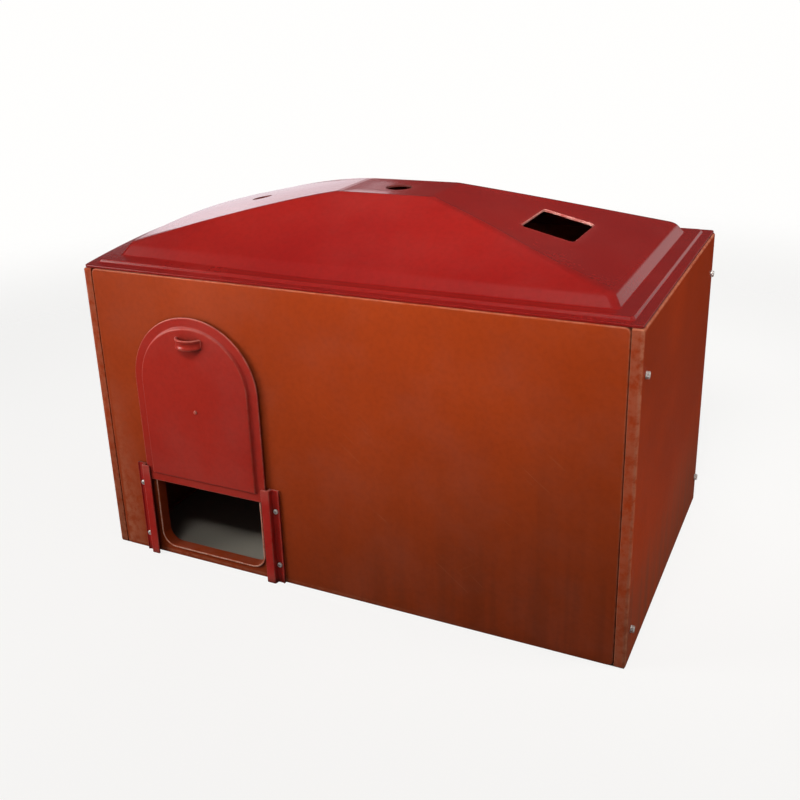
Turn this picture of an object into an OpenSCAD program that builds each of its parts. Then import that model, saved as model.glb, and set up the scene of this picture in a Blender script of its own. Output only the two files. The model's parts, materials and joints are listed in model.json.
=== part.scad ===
// Creep box for young farm animals: four bolted pan-shaped wall panels, an arched door that
// slides up in two rails, and a loose hipped lid with a lamp hole, a vent hole and a window.
// Millimetres, +Z up, front face towards -Y.

/* [Box] */
// Length of the box along its front
box_l = 1000; // [800:10:1400]
// Depth of the box, front face to rear face
box_w = 600; // [480:10:900]
// Height of the walls
wall_h = 560; // [450:10:800]
// Wall thickness of every moulded panel
skin_t = 4; // [3:0.5:6]

/* [Wall panels] */
// Depth of the folded edge around each panel
edge_d = 18; // [14:1:30]
// Gap between an end panel's folded edge and the front or rear panel
seam = 1; // [0.5:0.5:3]
// Depth of the bolting flanges at the sides of the front and rear panels
flange_d = 45; // [36:1:60]
// Radius of the front and rear panels' four corners
panel_r = 9; // [6:1:20]
// Radius of the box's upright outer corners
corner_r = 7; // [4:0.5:12]

/* [Corner bolts] */
// Thread diameter of a corner bolt
bolt_d = 6; // [5:1:8]
// Free length of thread past the nut
bolt_tail = 3; // [1:0.5:8]
// Height of the lower bolts above the floor
bolt_low = 60; // [40:5:120]
// Depth of the upper bolts below the top of the walls
bolt_high = 75; // [40:5:120]
// Distance of the front bolts behind the front face
bolt_front = 25; // [20:1:28]
// Distance of the rear bolts ahead of the rear face
bolt_rear = 20; // [18:1:28]
// Radial clearance of a bolt in its hole
bolt_play = 0.3; // [0.2:0.1:0.8]

/* [Doorway] */
// Clear width of the doorway
doorway_w = 226; // [180:2:300]
// Clear height of the doorway
doorway_h = 294; // [240:2:340]
// Height of the sill above the floor
sill_h = 22; // [18:1:40]
// Distance of the doorway's centre from the left end of the box
doorway_x = 228.5; // [200:0.5:300]
// Radius of the doorway's two lower corners
doorway_r = 26; // [10:1:40]
// Depth of the doorway's reveal behind the front face
reveal_d = 18; // [10:1:40]
// Height of the bead around the doorway above the front face
bead_out = 4; // [2:0.5:6]
// Thickness of the reveal and its bead
bead_t = 4; // [3:0.5:6]

/* [Door] */
// Overlap of the door beyond the doorway, all round
door_lap = 18; // [12:1:24]
// Gap under the closed door
door_floor_gap = 2; // [1:0.5:6]
// How far the door is raised as stored
door_lift = 158; // [100:1:200]
// Thickness of the door's moulded wall
door_t = 3.2; // [2:0.2:4]
// Width of the flat border around the door's raised centre
door_border = 16.5; // [12:0.5:22]
// Height of the raised centre above the border
door_raise = 5; // [4:0.5:10]
// Radius of the door's lower corners
door_r = 5; // [2:0.5:10]
// Clearance between the doorway's bead and the door
door_back_play = 0.8; // [0.5:0.1:2]
// Diameter of the pip at the door's centre
pip_d = 6; // [3:0.5:8]
// Height of the pip
pip_h = 2.5; // [1:0.5:3]

/* [Door pull] */
// Width of the pull over its two feet
pull_w = 54; // [44:1:70]
// Reach of the pull in front of the door
pull_reach = 19; // [14:1:21]
// Height of the pull's bar
pull_h = 18; // [12:1:24]
// Thickness of the pull's bar
pull_t = 5; // [4:0.5:6]
// Depth of the pull's middle below the top of the door
pull_drop = 43; // [36:1:90]
// Depth of the hollow along the pull's outer face
pull_hollow = 1.2; // [0.4:0.2:2]

/* [Rails] */
// Overlap of a rail's lip over the door's border
rail_lap = 8; // [4:0.5:8]
// Clearance between the door's side and a rail's web
rail_side_play = 3.5; // [1:0.5:5]
// Clearance between the door's border and a rail's lip
rail_face_play = 1; // [0.5:0.1:2]
// Thickness of a rail's lip and flange
rail_t = 3; // [2:0.5:5]
// Thickness of a rail's web at the lip
rail_web = 5.5; // [3:0.5:8]
// Outward slope of the web from lip to flange
rail_draft = 2; // [0:0.5:4]
// Height of the ridge along a rail's outer edge
rail_ridge = 1.5; // [0.5:0.5:3]
// Width of that ridge at its foot
rail_ridge_w = 3; // [2:0.5:5]
// Length of door held in the rails when it is raised
rail_grip = 28; // [15:1:60]
// Thread diameter of a rail screw
screw_d = 5; // [4:1:6]
// Height of the lower rail screws above the floor
screw_low = 37; // [30:1:60]
// Depth of the upper rail screws below the top of the rail
screw_high = 42; // [20:1:60]

/* [Lid] */
// Inset of the lid's outer edge from the walls' outer faces
lid_inset = 2.5; // [0:0.5:6]
// Gap between the top of the walls and the lid
lid_gap = 0.3; // [0.1:0.1:1]
// Radius of the lid's outer corners
lid_r = 5; // [2:1:20]
// Inset of the step's foot from the walls' outer faces
step_inset = 19; // [17:1:30]
// Inward slope of the step
step_run = 3; // [1:0.5:6]
// Height of the step's flat above the lid's underside
step_h = 9; // [7:1:24]
// Inset of the steep band's foot
band_inset = 47; // [38:1:70]
// Inward slope of the steep band
band_run = 13; // [8:1:24]
// Height of the steep band
band_h = 19; // [6:1:24]
// Height of the lid's flat top above its underside
lid_h = 115; // [80:1:160]
// Length of the flat top
top_l = 182; // [120:2:300]
// Distance of the flat top's middle to the right of the lid's middle
top_x = -8; // [-20:1:20]
// Width of the flat top
top_w = 135; // [90:5:200]
// Radius of the lid's hips at the steep band
hip_r = 12; // [4:1:30]

/* [Lid openings] */
// Diameter of the lamp hole in the flat top
lamp_d = 48; // [30:1:80]
// Diameter of the vent hole in the left slope
vent_d = 38; // [20:1:60]
// Distance of the vent hole's centre from the flat top, measured level
vent_off = 203; // [60:1:220]
// Length of the window down the right slope
window_l = 92; // [50:1:110]
// Width of the window
window_w = 132; // [60:1:180]
// Distance of the window's middle from the flat top, measured level
window_off = 204; // [90:1:205]
// Radius of the window's corners
window_r = 8; // [2:1:16]

/* [Hidden] */
$fn = 96;
eps = 1;                                   // overrun of a cut past the face it leaves
hull_fn = 32;                              // facets of the round corners inside hulls

// Outlines of the wall panels
panel_l = box_l - 2 * (edge_d + seam);     // front and rear panels lie between the ends
stack_t = edge_d + seam + skin_t;          // outer face of an end panel to a flange's inside
flange_end = panel_r;                      // flanges stop where the corners curve in

// Corner bolts
bolt_af = 1.667 * bolt_d;                  // hexagon across flats
bolt_head_h = 0.667 * bolt_d;
nut_h = 0.8 * bolt_d;
washer_d = 2 * bolt_d;
washer_t = 0.267 * bolt_d;
boss_d = washer_d + 8;
bolt_len = 2 * washer_t + stack_t + nut_h + bolt_tail;
bolt_zs = [bolt_low, wall_h - bolt_high];
thread_play = 0.02;                        // radial gap of a thread's stand-in cylinder

// Doorway and door
door_x = doorway_x - box_l / 2;
arch_r = doorway_w / 2;
spring_z = sill_h + doorway_h - arch_r;    // centre of the arch
door_half = arch_r + door_lap;
door_v0 = bead_out + door_back_play;       // back of the door, ahead of the front face
door_v1 = door_v0 + door_t;                // face of the border
door_v2 = door_v1 + door_raise;            // face of the raised centre
door_z = door_floor_gap + door_lift;       // lower edge as stored
door_spring = spring_z + door_lift;
door_top = door_spring + door_half;

// Door pull: a bow cut from a ring whose centre lies behind the door's face
pull_ring = (pull_w * pull_w / 4 + pull_reach * pull_reach) / (2 * pull_reach);
pull_v = door_v2 + pull_reach - pull_ring;
pull_z = door_top - pull_drop;
pull_groove_r = pull_h / 3;

// Rails, measured outward from the door's centre line and forward from the front face
rail_h = door_z + rail_grip;
rail_lip_v0 = door_v1 + rail_face_play;
rail_lip_v1 = rail_lip_v0 + rail_t;
rail_lip_u = door_half - rail_lap;
rail_web_u = door_half + rail_side_play;
rail_face_u = rail_web_u + rail_web;
rail_foot_u = rail_face_u + rail_draft;
screw_head_d = 1.9 * screw_d;
screw_head_h = 0.64 * screw_d;
screw_seat = screw_head_d + 1;
screw_u = rail_foot_u + screw_seat / 2;
rail_out_u = rail_foot_u + screw_seat + rail_ridge_w;
screw_zs = [screw_low, rail_h - screw_high];
screw_washer_d = 2 * screw_d;
screw_washer_t = 0.2 * screw_d;
screw_nut_af = 1.6 * screw_d;
screw_nut_h = 0.8 * screw_d;
screw_len = rail_t + skin_t + screw_washer_t + screw_nut_h + 2;

// Lid
lid_z = wall_h + lid_gap;
band_top = step_h + band_h;
slope_inset = band_inset + band_run;
slope_run = box_l / 2 - slope_inset - top_l / 2;
slope_angle = atan2(lid_h - band_top, slope_run);
function end_angle(side) = atan2(lid_h - band_top, slope_run - side * top_x);
band_shift = skin_t * tan(atan2(band_h, band_run) / 2);
top_shift = skin_t * tan(slope_angle / 2);

// The origin is the bottom centre of the whole part, so the walls sit back by half the
// distance that the door and its pull stand out in front of them
front_reach = door_v2 + pull_reach;
front_y = (front_reach - box_w) / 2;

// ---- Shared shapes ----

// Moves what is drawn from the front face into the part's frame
module placed() {
    translate([0, front_y, 0]) children();
}

// A rectangle with round corners, centred
module round_rect(l, w, r) {
    square([l, w - 2 * r], center = true);
    square([l - 2 * r, w], center = true);
    for (x = [-1, 1], y = [-1, 1])
        translate([x * (l / 2 - r), y * (w / 2 - r)]) circle(r = r);
}

// Stands an outline drawn in x and z upright, from face y = v_front to a depth d behind it
module upright(v_front, d) {
    translate([0, d - v_front, 0]) rotate([90, 0, 0]) linear_extrude(d) children();
}

// An arch with round lower corners, centred on x = 0
module arch(half, z_low, z_spring, r) {
    translate([0, z_spring]) circle(r = half);
    translate([-half, z_low + r]) square([2 * half, z_spring - z_low - r]);
    translate([r - half, z_low]) square([2 * (half - r), r + eps]);
    for (x = [-1, 1]) translate([x * (half - r), z_low + r]) circle(r = r);
}

// A ring with its axis along z
module ring(d_out, d_in, h) {
    difference() {
        cylinder(d = d_out, h = h);
        translate([0, 0, -eps]) cylinder(d = d_in, h = h + 2 * eps);
    }
}

module hex_nut(af, d, h) {
    difference() {
        cylinder(d = af / cos(30), h = h, $fn = 6);
        translate([0, 0, -eps]) cylinder(r = d / 2 + thread_play, h = h + 2 * eps);
    }
}

// ---- Wall panels ----

// The pan that the front and rear panels share: skin, folded edge and bolting flanges
module pan() {
    difference() {
        upright(0, edge_d) translate([0, wall_h / 2]) round_rect(panel_l, wall_h, panel_r);
        upright(-skin_t, edge_d) translate([0, wall_h / 2])
            round_rect(panel_l - 2 * skin_t, wall_h - 2 * skin_t, panel_r - skin_t);
    }
    for (x = [-panel_l / 2, panel_l / 2 - skin_t])
        translate([x, eps, flange_end]) cube([skin_t, flange_d - eps, wall_h - 2 * flange_end]);
}

// Holes for the corner bolts at one depth, through both ends of the box
module bolt_holes(y) {
    for (z = bolt_zs) translate([-box_l / 2 - eps, y, z]) rotate([0, 90, 0])
        cylinder(r = bolt_d / 2 + bolt_play, h = box_l + 2 * eps);
}

// Holes for the rail screws through the front panel and rails
module screw_holes() {
    for (side = [-1, 1], z = screw_zs)
        translate([door_x + side * screw_u, skin_t + eps, z]) rotate([90, 0, 0])
            cylinder(r = screw_d / 2 + bolt_play, h = skin_t + rail_t + 2 * eps);
}

module front_panel() {
    color("#96401f") placed() difference() {
        union() {
            pan();
            translate([door_x, 0, 0]) upright(bead_out, bead_out + reveal_d)
                arch(arch_r + bead_t, sill_h - bead_t, spring_z, doorway_r + bead_t);
        }
        translate([door_x, 0, 0]) upright(bead_out + eps, bead_out + reveal_d + 2 * eps)
            arch(arch_r, sill_h, spring_z, doorway_r);
        bolt_holes(bolt_front);
        screw_holes();
    }
}

module rear_panel() {
    color("#96401f") placed() difference() {
        translate([0, box_w, 0]) mirror([0, 1, 0]) pan();
        bolt_holes(box_w - bolt_rear);
    }
}

// An end panel drawn at the right-hand end, its folded edge turned inward
module end_panel() {
    x0 = box_l / 2 - edge_d;
    boss_x = box_l / 2 - edge_d - seam;
    difference() {
        union() {
            difference() {
                linear_extrude(wall_h) {
                    translate([x0, 0]) square([edge_d - corner_r, box_w]);
                    translate([x0, corner_r]) square([edge_d, box_w - 2 * corner_r]);
                    for (y = [corner_r, box_w - corner_r])
                        translate([x0 + edge_d - corner_r, y]) circle(r = corner_r);
                }
                translate([x0 - eps, skin_t, skin_t])
                    cube([edge_d - skin_t + eps, box_w - 2 * skin_t, wall_h - 2 * skin_t]);
            }
            for (y = [bolt_front, box_w - bolt_rear], z = bolt_zs)
                translate([boss_x, y, z]) rotate([0, 90, 0])
                    cylinder(d = boss_d, h = edge_d + seam - skin_t / 2);
        }
        bolt_holes(bolt_front);
        bolt_holes(box_w - bolt_rear);
    }
}

module right_end_panel() {
    color("#8b3414") placed() end_panel();
}

module left_end_panel() {
    color("#8b3414") placed() mirror([1, 0, 0]) end_panel();
}

// ---- Corner bolts, washers and nuts ----

// Puts what is drawn along +z from an end panel's outer face at both bolts of a corner
module at_corner(side, y) {
    placed() for (z = bolt_zs)
        translate([side * box_l / 2, y, z]) rotate([0, side * 90, 0]) children();
}

module corner_bolts(side, y) {
    color("silver") at_corner(side, y) {
        translate([0, 0, washer_t]) cylinder(d = bolt_af / cos(30), h = bolt_head_h, $fn = 6);
        translate([0, 0, washer_t - bolt_len]) cylinder(d = bolt_d, h = bolt_len + eps);
    }
}

module corner_washers(side, y) {
    color("gainsboro") at_corner(side, y) for (z = [0, -stack_t - washer_t])
        translate([0, 0, z]) ring(washer_d, bolt_d + 2 * bolt_play, washer_t);
}

module corner_nuts(side, y) {
    color("silver") at_corner(side, y)
        translate([0, 0, -stack_t - washer_t - nut_h]) hex_nut(bolt_af, bolt_d, nut_h);
}

module front_left_bolts() { corner_bolts(-1, bolt_front); }
module front_right_bolts() { corner_bolts(1, bolt_front); }
module rear_left_bolts() { corner_bolts(-1, box_w - bolt_rear); }
module rear_right_bolts() { corner_bolts(1, box_w - bolt_rear); }
module front_left_washers() { corner_washers(-1, bolt_front); }
module front_right_washers() { corner_washers(1, bolt_front); }
module rear_left_washers() { corner_washers(-1, box_w - bolt_rear); }
module rear_right_washers() { corner_washers(1, box_w - bolt_rear); }
module front_left_nuts() { corner_nuts(-1, bolt_front); }
module front_right_nuts() { corner_nuts(1, bolt_front); }
module rear_left_nuts() { corner_nuts(-1, box_w - bolt_rear); }
module rear_right_nuts() { corner_nuts(1, box_w - bolt_rear); }

// ---- Door and pull ----

module door() {
    back = door_half - door_border - door_t;
    color("#9b2b24") placed() translate([door_x, 0, 0]) {
        difference() {
            union() {
                upright(door_v1, door_t) arch(door_half, door_z, door_spring, door_r);
                upright(door_v2, door_v2 - door_v0)
                    arch(door_half - door_border, door_z + door_border, door_spring, door_r);
            }
            upright(door_v2 - door_t, door_v2 - door_t - door_v0 + eps)
                arch(back, door_z + door_border + door_t, door_spring, door_r);
        }
        translate([0, -door_v2 + eps, (door_z + door_top) / 2 - 8]) rotate([90, 0, 0])
            cylinder(d = pip_d, h = pip_h + eps);
    }
}

// A bow: a slice of a ring standing on the door's face, hollowed along its outside
module door_pull() {
    color("#9b2b24") placed() translate([door_x, -pull_v, pull_z]) intersection() {
        translate([-pull_w / 2, -pull_ring, -pull_h / 2])
            cube([pull_w, pull_ring - door_v2 + pull_v, pull_h]);
        difference() {
            translate([0, 0, -pull_h / 2]) ring(2 * pull_ring, 2 * (pull_ring - pull_t), pull_h);
            rotate_extrude() translate([pull_ring + pull_groove_r - pull_hollow, 0])
                circle(r = pull_groove_r);
        }
    }
}

// ---- Rails ----

// One rail: a flange on the front panel, a web beside the door and a lip over its border
module rail(side) {
    ridge_v = rail_t + rail_ridge;
    profile = [[rail_web_u, 0], [rail_out_u, 0], [rail_out_u, ridge_v],
        [rail_out_u - rail_ridge_w / 2, ridge_v], [rail_out_u - rail_ridge_w, rail_t],
        [rail_foot_u, rail_t], [rail_face_u, rail_lip_v1], [rail_lip_u, rail_lip_v1],
        [rail_lip_u, rail_lip_v0], [rail_web_u, rail_lip_v0]];
    color("#8a281f") placed() difference() {
        translate([door_x, 0, 0]) linear_extrude(rail_h)
            polygon([for (p = profile) [side * p[0], -p[1]]]);
        screw_holes();
    }
}

// Puts what is drawn along +z from a rail flange's face at both screws of a rail
module at_rail(side) {
    placed() for (z = screw_zs)
        translate([door_x + side * screw_u, -rail_t, z]) rotate([90, 0, 0]) children();
}

// Pan-head screws with a cross recess
module rail_screws(side) {
    dome_r = 1.2 * screw_head_d;
    color("silver") at_rail(side) difference() {
        union() {
            intersection() {
                cylinder(d = screw_head_d, h = screw_head_h);
                translate([0, 0, screw_head_h - dome_r]) sphere(r = dome_r);
            }
            translate([0, 0, -screw_len]) cylinder(d = screw_d, h = screw_len + eps);
        }
        for (a = [0, 90]) rotate([0, 0, a]) translate([0, 0, screw_head_h])
            cube([0.55 * screw_head_d, 0.12 * screw_head_d, screw_head_h], center = true);
    }
}

module rail_washers(side) {
    color("gainsboro") at_rail(side)
        translate([0, 0, -rail_t - skin_t - screw_washer_t])
            ring(screw_washer_d, screw_d + 2 * bolt_play, screw_washer_t);
}

module rail_nuts(side) {
    color("silver") at_rail(side)
        translate([0, 0, -rail_t - skin_t - screw_washer_t - screw_nut_h])
            hex_nut(screw_nut_af, screw_d, screw_nut_h);
}

module left_rail() { rail(-1); }
module right_rail() { rail(1); }
module left_rail_screws() { rail_screws(-1); }
module right_rail_screws() { rail_screws(1); }
module left_rail_washers() { rail_washers(-1); }
module right_rail_washers() { rail_washers(1); }
module left_rail_nuts() { rail_nuts(-1); }
module right_rail_nuts() { rail_nuts(1); }

// ---- Lid ----

// A thin plate whose top is at z, with the given size and corner radius
module plate(l, w, r, z) {
    translate([0, 0, z - eps]) linear_extrude(eps) round_rect(l, w, r, $fn = hull_fn);
}

// One tier of the lid: straight lines from a lower plate to an upper one, which may lie
// to one side by x1
module tier(inset0, r0, z0, l1, w1, r1, z1, x1 = 0) {
    hull() {
        plate(box_l - 2 * inset0, box_w - 2 * inset0, r0, z0);
        translate([x1, 0, 0]) plate(l1, w1, r1, z1);
    }
}

// The three tiers of the lid, with each surface moved in by the values given and lowered
module tiers(step_in, band_in, top_in, lower) {
    step_top = step_inset + step_run + step_in;
    band_foot = band_inset + band_in;
    slope_foot = slope_inset + band_in;
    tier(step_inset + step_in, lid_r, skin_t - lower,
        box_l - 2 * step_top, box_w - 2 * step_top, lid_r, step_h - lower);
    tier(band_foot, hip_r, step_h - lower,
        box_l - 2 * slope_foot, box_w - 2 * slope_foot, hip_r, band_top - lower);
    tier(slope_foot, hip_r, band_top - lower,
        top_l - 2 * top_in, top_w - 2 * top_in, hip_r, lid_h - lower, top_x);
}

// Puts what is drawn around z on the end slope of one side, square to its surface
module on_slope(side, off) {
    fall = off * tan(end_angle(side));
    translate([top_x + side * (top_l / 2 + off), 0, lid_h - fall])
        rotate([0, side * end_angle(side), 0]) children();
}

module lid() {
    rim_l = box_l - 2 * lid_inset;
    rim_w = box_w - 2 * lid_inset;
    color("#93282a") placed() translate([0, box_w / 2, lid_z]) difference() {
        union() {
            linear_extrude(skin_t) round_rect(rim_l, rim_w, lid_r);
            tiers(0, 0, 0, 0);
        }
        tiers(skin_t, band_shift, top_shift, skin_t);
        translate([0, 0, -eps]) linear_extrude(skin_t + eps)
            round_rect(box_l - 2 * (step_inset + skin_t), box_w - 2 * (step_inset + skin_t), lid_r);
        translate([top_x, 0, 0]) cylinder(d = lamp_d, h = lid_h + eps);
        on_slope(-1, vent_off) cylinder(d = vent_d, h = 4 * skin_t, center = true);
        on_slope(1, window_off) translate([0, 0, -2 * skin_t]) linear_extrude(4 * skin_t)
            round_rect(window_l, window_w, window_r);
    }
}

front_panel();
rear_panel();
left_end_panel();
right_end_panel();
lid();
door();
door_pull();
left_rail();
right_rail();
front_left_bolts();
front_right_bolts();
rear_left_bolts();
rear_right_bolts();
front_left_washers();
front_right_washers();
rear_left_washers();
rear_right_washers();
front_left_nuts();
front_right_nuts();
rear_left_nuts();
rear_right_nuts();
left_rail_screws();
right_rail_screws();
left_rail_washers();
right_rail_washers();
left_rail_nuts();
right_rail_nuts();
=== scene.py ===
"""Looks of a piglet creep box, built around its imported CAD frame.

Metres, +Z up, the front face towards -Y. Every place is worked out from the frame's own nodes.
"""

from __future__ import annotations

import json
import logging
import math
import random
from dataclasses import dataclass
from enum import Enum
from functools import cached_property
from typing import Callable, Iterable, Sequence

import bmesh
import bpy
from mathutils import Matrix, Quaternion, Vector

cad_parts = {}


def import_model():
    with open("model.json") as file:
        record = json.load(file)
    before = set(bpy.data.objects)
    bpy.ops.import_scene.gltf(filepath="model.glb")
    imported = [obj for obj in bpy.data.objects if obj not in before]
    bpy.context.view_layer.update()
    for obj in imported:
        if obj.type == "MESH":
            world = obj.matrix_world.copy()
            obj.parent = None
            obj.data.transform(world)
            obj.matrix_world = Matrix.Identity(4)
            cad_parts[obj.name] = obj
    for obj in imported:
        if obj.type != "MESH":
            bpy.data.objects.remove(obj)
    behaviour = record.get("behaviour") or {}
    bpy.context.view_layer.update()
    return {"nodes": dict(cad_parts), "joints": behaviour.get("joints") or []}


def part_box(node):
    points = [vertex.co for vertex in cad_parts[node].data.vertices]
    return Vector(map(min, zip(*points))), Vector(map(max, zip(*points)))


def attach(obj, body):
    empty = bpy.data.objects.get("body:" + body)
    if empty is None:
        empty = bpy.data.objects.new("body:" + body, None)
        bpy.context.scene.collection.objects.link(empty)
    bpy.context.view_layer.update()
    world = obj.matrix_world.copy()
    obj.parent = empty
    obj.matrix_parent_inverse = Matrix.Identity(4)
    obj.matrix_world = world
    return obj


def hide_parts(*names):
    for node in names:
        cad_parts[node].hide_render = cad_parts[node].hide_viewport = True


LOG = logging.getLogger("creep_box")
MM = 0.001
LEAST_RADIUS = 0.2 * MM
CREASE = 32.0
WHITE = (1.0, 0.995, 0.985, 1.0)

Point2 = tuple[float, float]
Knot = tuple[float, ...]
Loop = list[bmesh.types.BMVert]
Point3 = tuple[float, float, float]
Colour = tuple[float, float, float, float]
Ring = tuple[float, Callable[[float], float]]
Socket = bpy.types.NodeSocket
Solid = bpy.types.Object


class Body(Enum):
    """The bodies that pieces ride on."""

    SHELL = "shell"
    LID = "lid"
    DOOR = "door"


class Slot(Enum):
    """The record's material slots."""

    WALL = "wall_plastic"
    LID = "lid_plastic"
    DOOR = "door_plastic"
    RAIL = "rail_plastic"
    ZINC = "zinc_steel"


# ---------------------------------------------------------------------------
# Outlines and paths
# ---------------------------------------------------------------------------


def arc(centre: Point2, radius: float, start: float, end: float, steps: int) -> list[Point2]:
    """Points along a circular arc.

    Args:
        centre: Middle of the circle.
        radius: Radius of the circle.
        start: First angle in degrees.
        end: Last angle in degrees.
        steps: Number of equal steps between them.

    Returns:
        The points, both ends included.
    """
    points = []
    for i in range(steps + 1):
        a = math.radians(start + (end - start) * i / steps)
        points.append((centre[0] + radius * math.cos(a), centre[1] + radius * math.sin(a)))
    return points


def circle(radius: float, count: int) -> list[Point2]:
    """That many points round a circle about the origin."""
    return arc((0.0, 0.0), radius, 0.0, 360.0 - 360.0 / count, count - 1)


def spaced(points: list[Point2], a: Point2, b: Point2, count: int) -> None:
    """Appends count points that divide the straight from a to b, ends left out."""
    for i in range(1, count + 1):
        t = i / (count + 1)
        points.append((a[0] + (b[0] - a[0]) * t, a[1] + (b[1] - a[1]) * t))


def round_rect(half_u: float, half_v: float, radius: float, steps: int = 6, along: int = 0) -> list[Point2]:
    """A rectangle with round corners.

    Args:
        half_u: Half its size along the first axis.
        half_v: Half its size along the second axis.
        radius: Corner radius.
        steps: Steps in each corner.
        along: Extra points on each straight side.

    Returns:
        Its points, counter-clockwise, always as many for the same steps and along.
    """
    r = max(min(radius, half_u, half_v), LEAST_RADIUS)
    signs = ((1, 1), (-1, 1), (-1, -1), (1, -1))
    corners = [
        arc((su * (half_u - r), sv * (half_v - r)), r, 90 * i, 90 * i + 90, steps)
        for i, (su, sv) in enumerate(signs)
    ]
    points: list[Point2] = []
    for i, corner in enumerate(corners):
        points += corner
        spaced(points, corner[-1], corners[(i + 1) % 4][0], along)
    return points


def arch(
    half: float, low: float, spring: float, radius: float, steps: int = 8, sweep: int = 56
) -> list[Point2]:
    """A doorway outline: a half-round top and two round lower corners.

    Args:
        half: Half the width, and the radius of the top.
        low: Height of the lower edge.
        spring: Height of the top's centre.
        radius: Radius of the lower corners.
        steps: Steps in each lower corner.
        sweep: Steps in the round top.

    Returns:
        Its points, counter-clockwise from the left side's lower end.
    """
    r = max(radius, LEAST_RADIUS)
    points = arc((r - half, low + r), r, 180, 270, steps)
    points += arc((half - r, low + r), r, 270, 360, steps)
    spaced(points, (half, low + r), (half, spring), 4)
    points += arc((0.0, spring), half, 0, 180, sweep)
    spaced(points, (-half, spring), (-half, low + r), 4)
    return points


def lerp(a: Knot, b: Knot, t: float) -> Knot:
    """The knot a share t of the way from a to b."""
    return tuple(x + (y - x) * t for x, y in zip(a, b))


def filleted(knots: Sequence[Knot], sizes: Sequence[float], steps: int = 5) -> list[Knot]:
    """Rounds the corners of an open path of knots in any number of dimensions.

    Args:
        knots: The path's corners.
        sizes: How far each corner's curve starts from it; the first and last are not used.
        steps: Steps in each curve.

    Returns:
        The path with each corner as a short curve.
    """
    path: list[Knot] = [knots[0]]
    for i in range(1, len(knots) - 1):
        before, here, after = knots[i - 1], knots[i], knots[i + 1]
        if sizes[i] <= 0:
            path.append(here)
            continue
        reach_in = min(sizes[i] / max(math.dist(before, here), 1e-9), 0.48)
        reach_out = min(sizes[i] / max(math.dist(here, after), 1e-9), 0.48)
        a, b = lerp(here, before, reach_in), lerp(here, after, reach_out)
        for k in range(steps + 1):
            t = k / steps
            path.append(lerp(lerp(a, here, t), lerp(here, b, t), t))
    path.append(knots[-1])
    return path


def box_middle(node: str) -> Vector:
    """The middle of a CAD node's box."""
    low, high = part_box(node)
    return (low + high) / 2


# ---------------------------------------------------------------------------
# Meshes
# ---------------------------------------------------------------------------


class Draft:
    """A mesh in the making, out of closed loops of points joined by quads."""

    def __init__(self) -> None:
        """Starts an empty mesh."""
        self.mesh = bmesh.new()

    def loop(self, points: Iterable[Vector]) -> Loop:
        """Adds one loop of points and returns its vertices."""
        return [self.mesh.verts.new(p) for p in points]

    def bridge(self, a: Loop, b: Loop) -> None:
        """Joins two loops of the same length by quads."""
        for i in range(len(a)):
            j = (i + 1) % len(a)
            self.mesh.faces.new((a[i], a[j], b[j], b[i]))

    def loft(self, loops: Iterable[Iterable[Vector]]) -> list[Loop]:
        """Joins a row of loops and returns their vertices."""
        made = [self.loop(points) for points in loops]
        for a, b in zip(made, made[1:]):
            self.bridge(a, b)
        return made

    def tube(self, loops: Iterable[Iterable[Vector]]) -> None:
        """A loft with both ends capped."""
        made = self.loft(loops)
        self.cap(made[0])
        self.cap(made[-1])

    def cap(self, loop: Loop) -> None:
        """Closes a loop with one flat face."""
        self.mesh.faces.new(loop)

    def fill(self, *loops: Loop) -> None:
        """Fills the flat area between an outer loop and the holes in it."""
        edges = []
        for loop in loops:
            for i in range(len(loop)):
                pair = (loop[i], loop[(i + 1) % len(loop)])
                edges.append(self.mesh.edges.get(pair) or self.mesh.edges.new(pair))
        bmesh.ops.triangle_fill(self.mesh, use_beauty=True, use_dissolve=False, edges=edges)

    def piece(self, name: str, angle: float = CREASE) -> Solid:
        """Turns the draft into an object.

        Args:
            name: The object's name.
            angle: Edges sharper than this many degrees stay sharp.

        Returns:
            The object, shaded smooth between its sharp edges.
        """
        bmesh.ops.recalc_face_normals(self.mesh, faces=self.mesh.faces)
        data = bpy.data.meshes.new(name)
        self.mesh.to_mesh(data)
        self.mesh.free()
        made = bpy.data.objects.new(name, data)
        bpy.context.scene.collection.objects.link(made)
        smooth(made, angle)
        return made

    def blade(self, name: str, *materials: bpy.types.Material) -> Solid:
        """Turns the draft into a cutter, whose cut faces take its materials."""
        made = self.piece(name)
        made.modifiers.clear()
        dress(made, *materials)
        return made


def smooth(target: Solid, angle: float) -> None:
    """Shades an object smooth, with sharp edges above an angle in degrees."""
    target.data.shade_smooth()
    target.data.set_sharp_from_angle(angle=math.radians(angle))
    weighted = target.modifiers.new("even_normals", "WEIGHTED_NORMAL")
    weighted.keep_sharp = True
    weighted.weight = 60


def cut(target: Solid, cutter: Solid, solver: str = "EXACT") -> None:
    """Takes a cutter's volume out of a piece for good; the cut faces keep the cutter's material."""
    knife = target.modifiers.new("cut", "BOOLEAN")
    knife.operation, knife.solver, knife.object = "DIFFERENCE", solver, cutter
    knife.material_mode = "TRANSFER"
    while target.modifiers.find("cut") > 0:
        target.modifiers.move(target.modifiers.find("cut"), 0)
    others = [m for m in target.modifiers if m.name != "cut"]
    for modifier in others:
        modifier.show_viewport = False
    graph = bpy.context.evaluated_depsgraph_get()
    shaped = bpy.data.meshes.new_from_object(target.evaluated_get(graph))
    target.modifiers.remove(knife)
    for modifier in others:
        modifier.show_viewport = True
    name = target.data.name
    target.data = shaped
    shaped.name = name
    bpy.data.objects.remove(cutter)
    shaped.shade_smooth()
    shaped.set_sharp_from_angle(angle=math.radians(CREASE))


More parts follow.
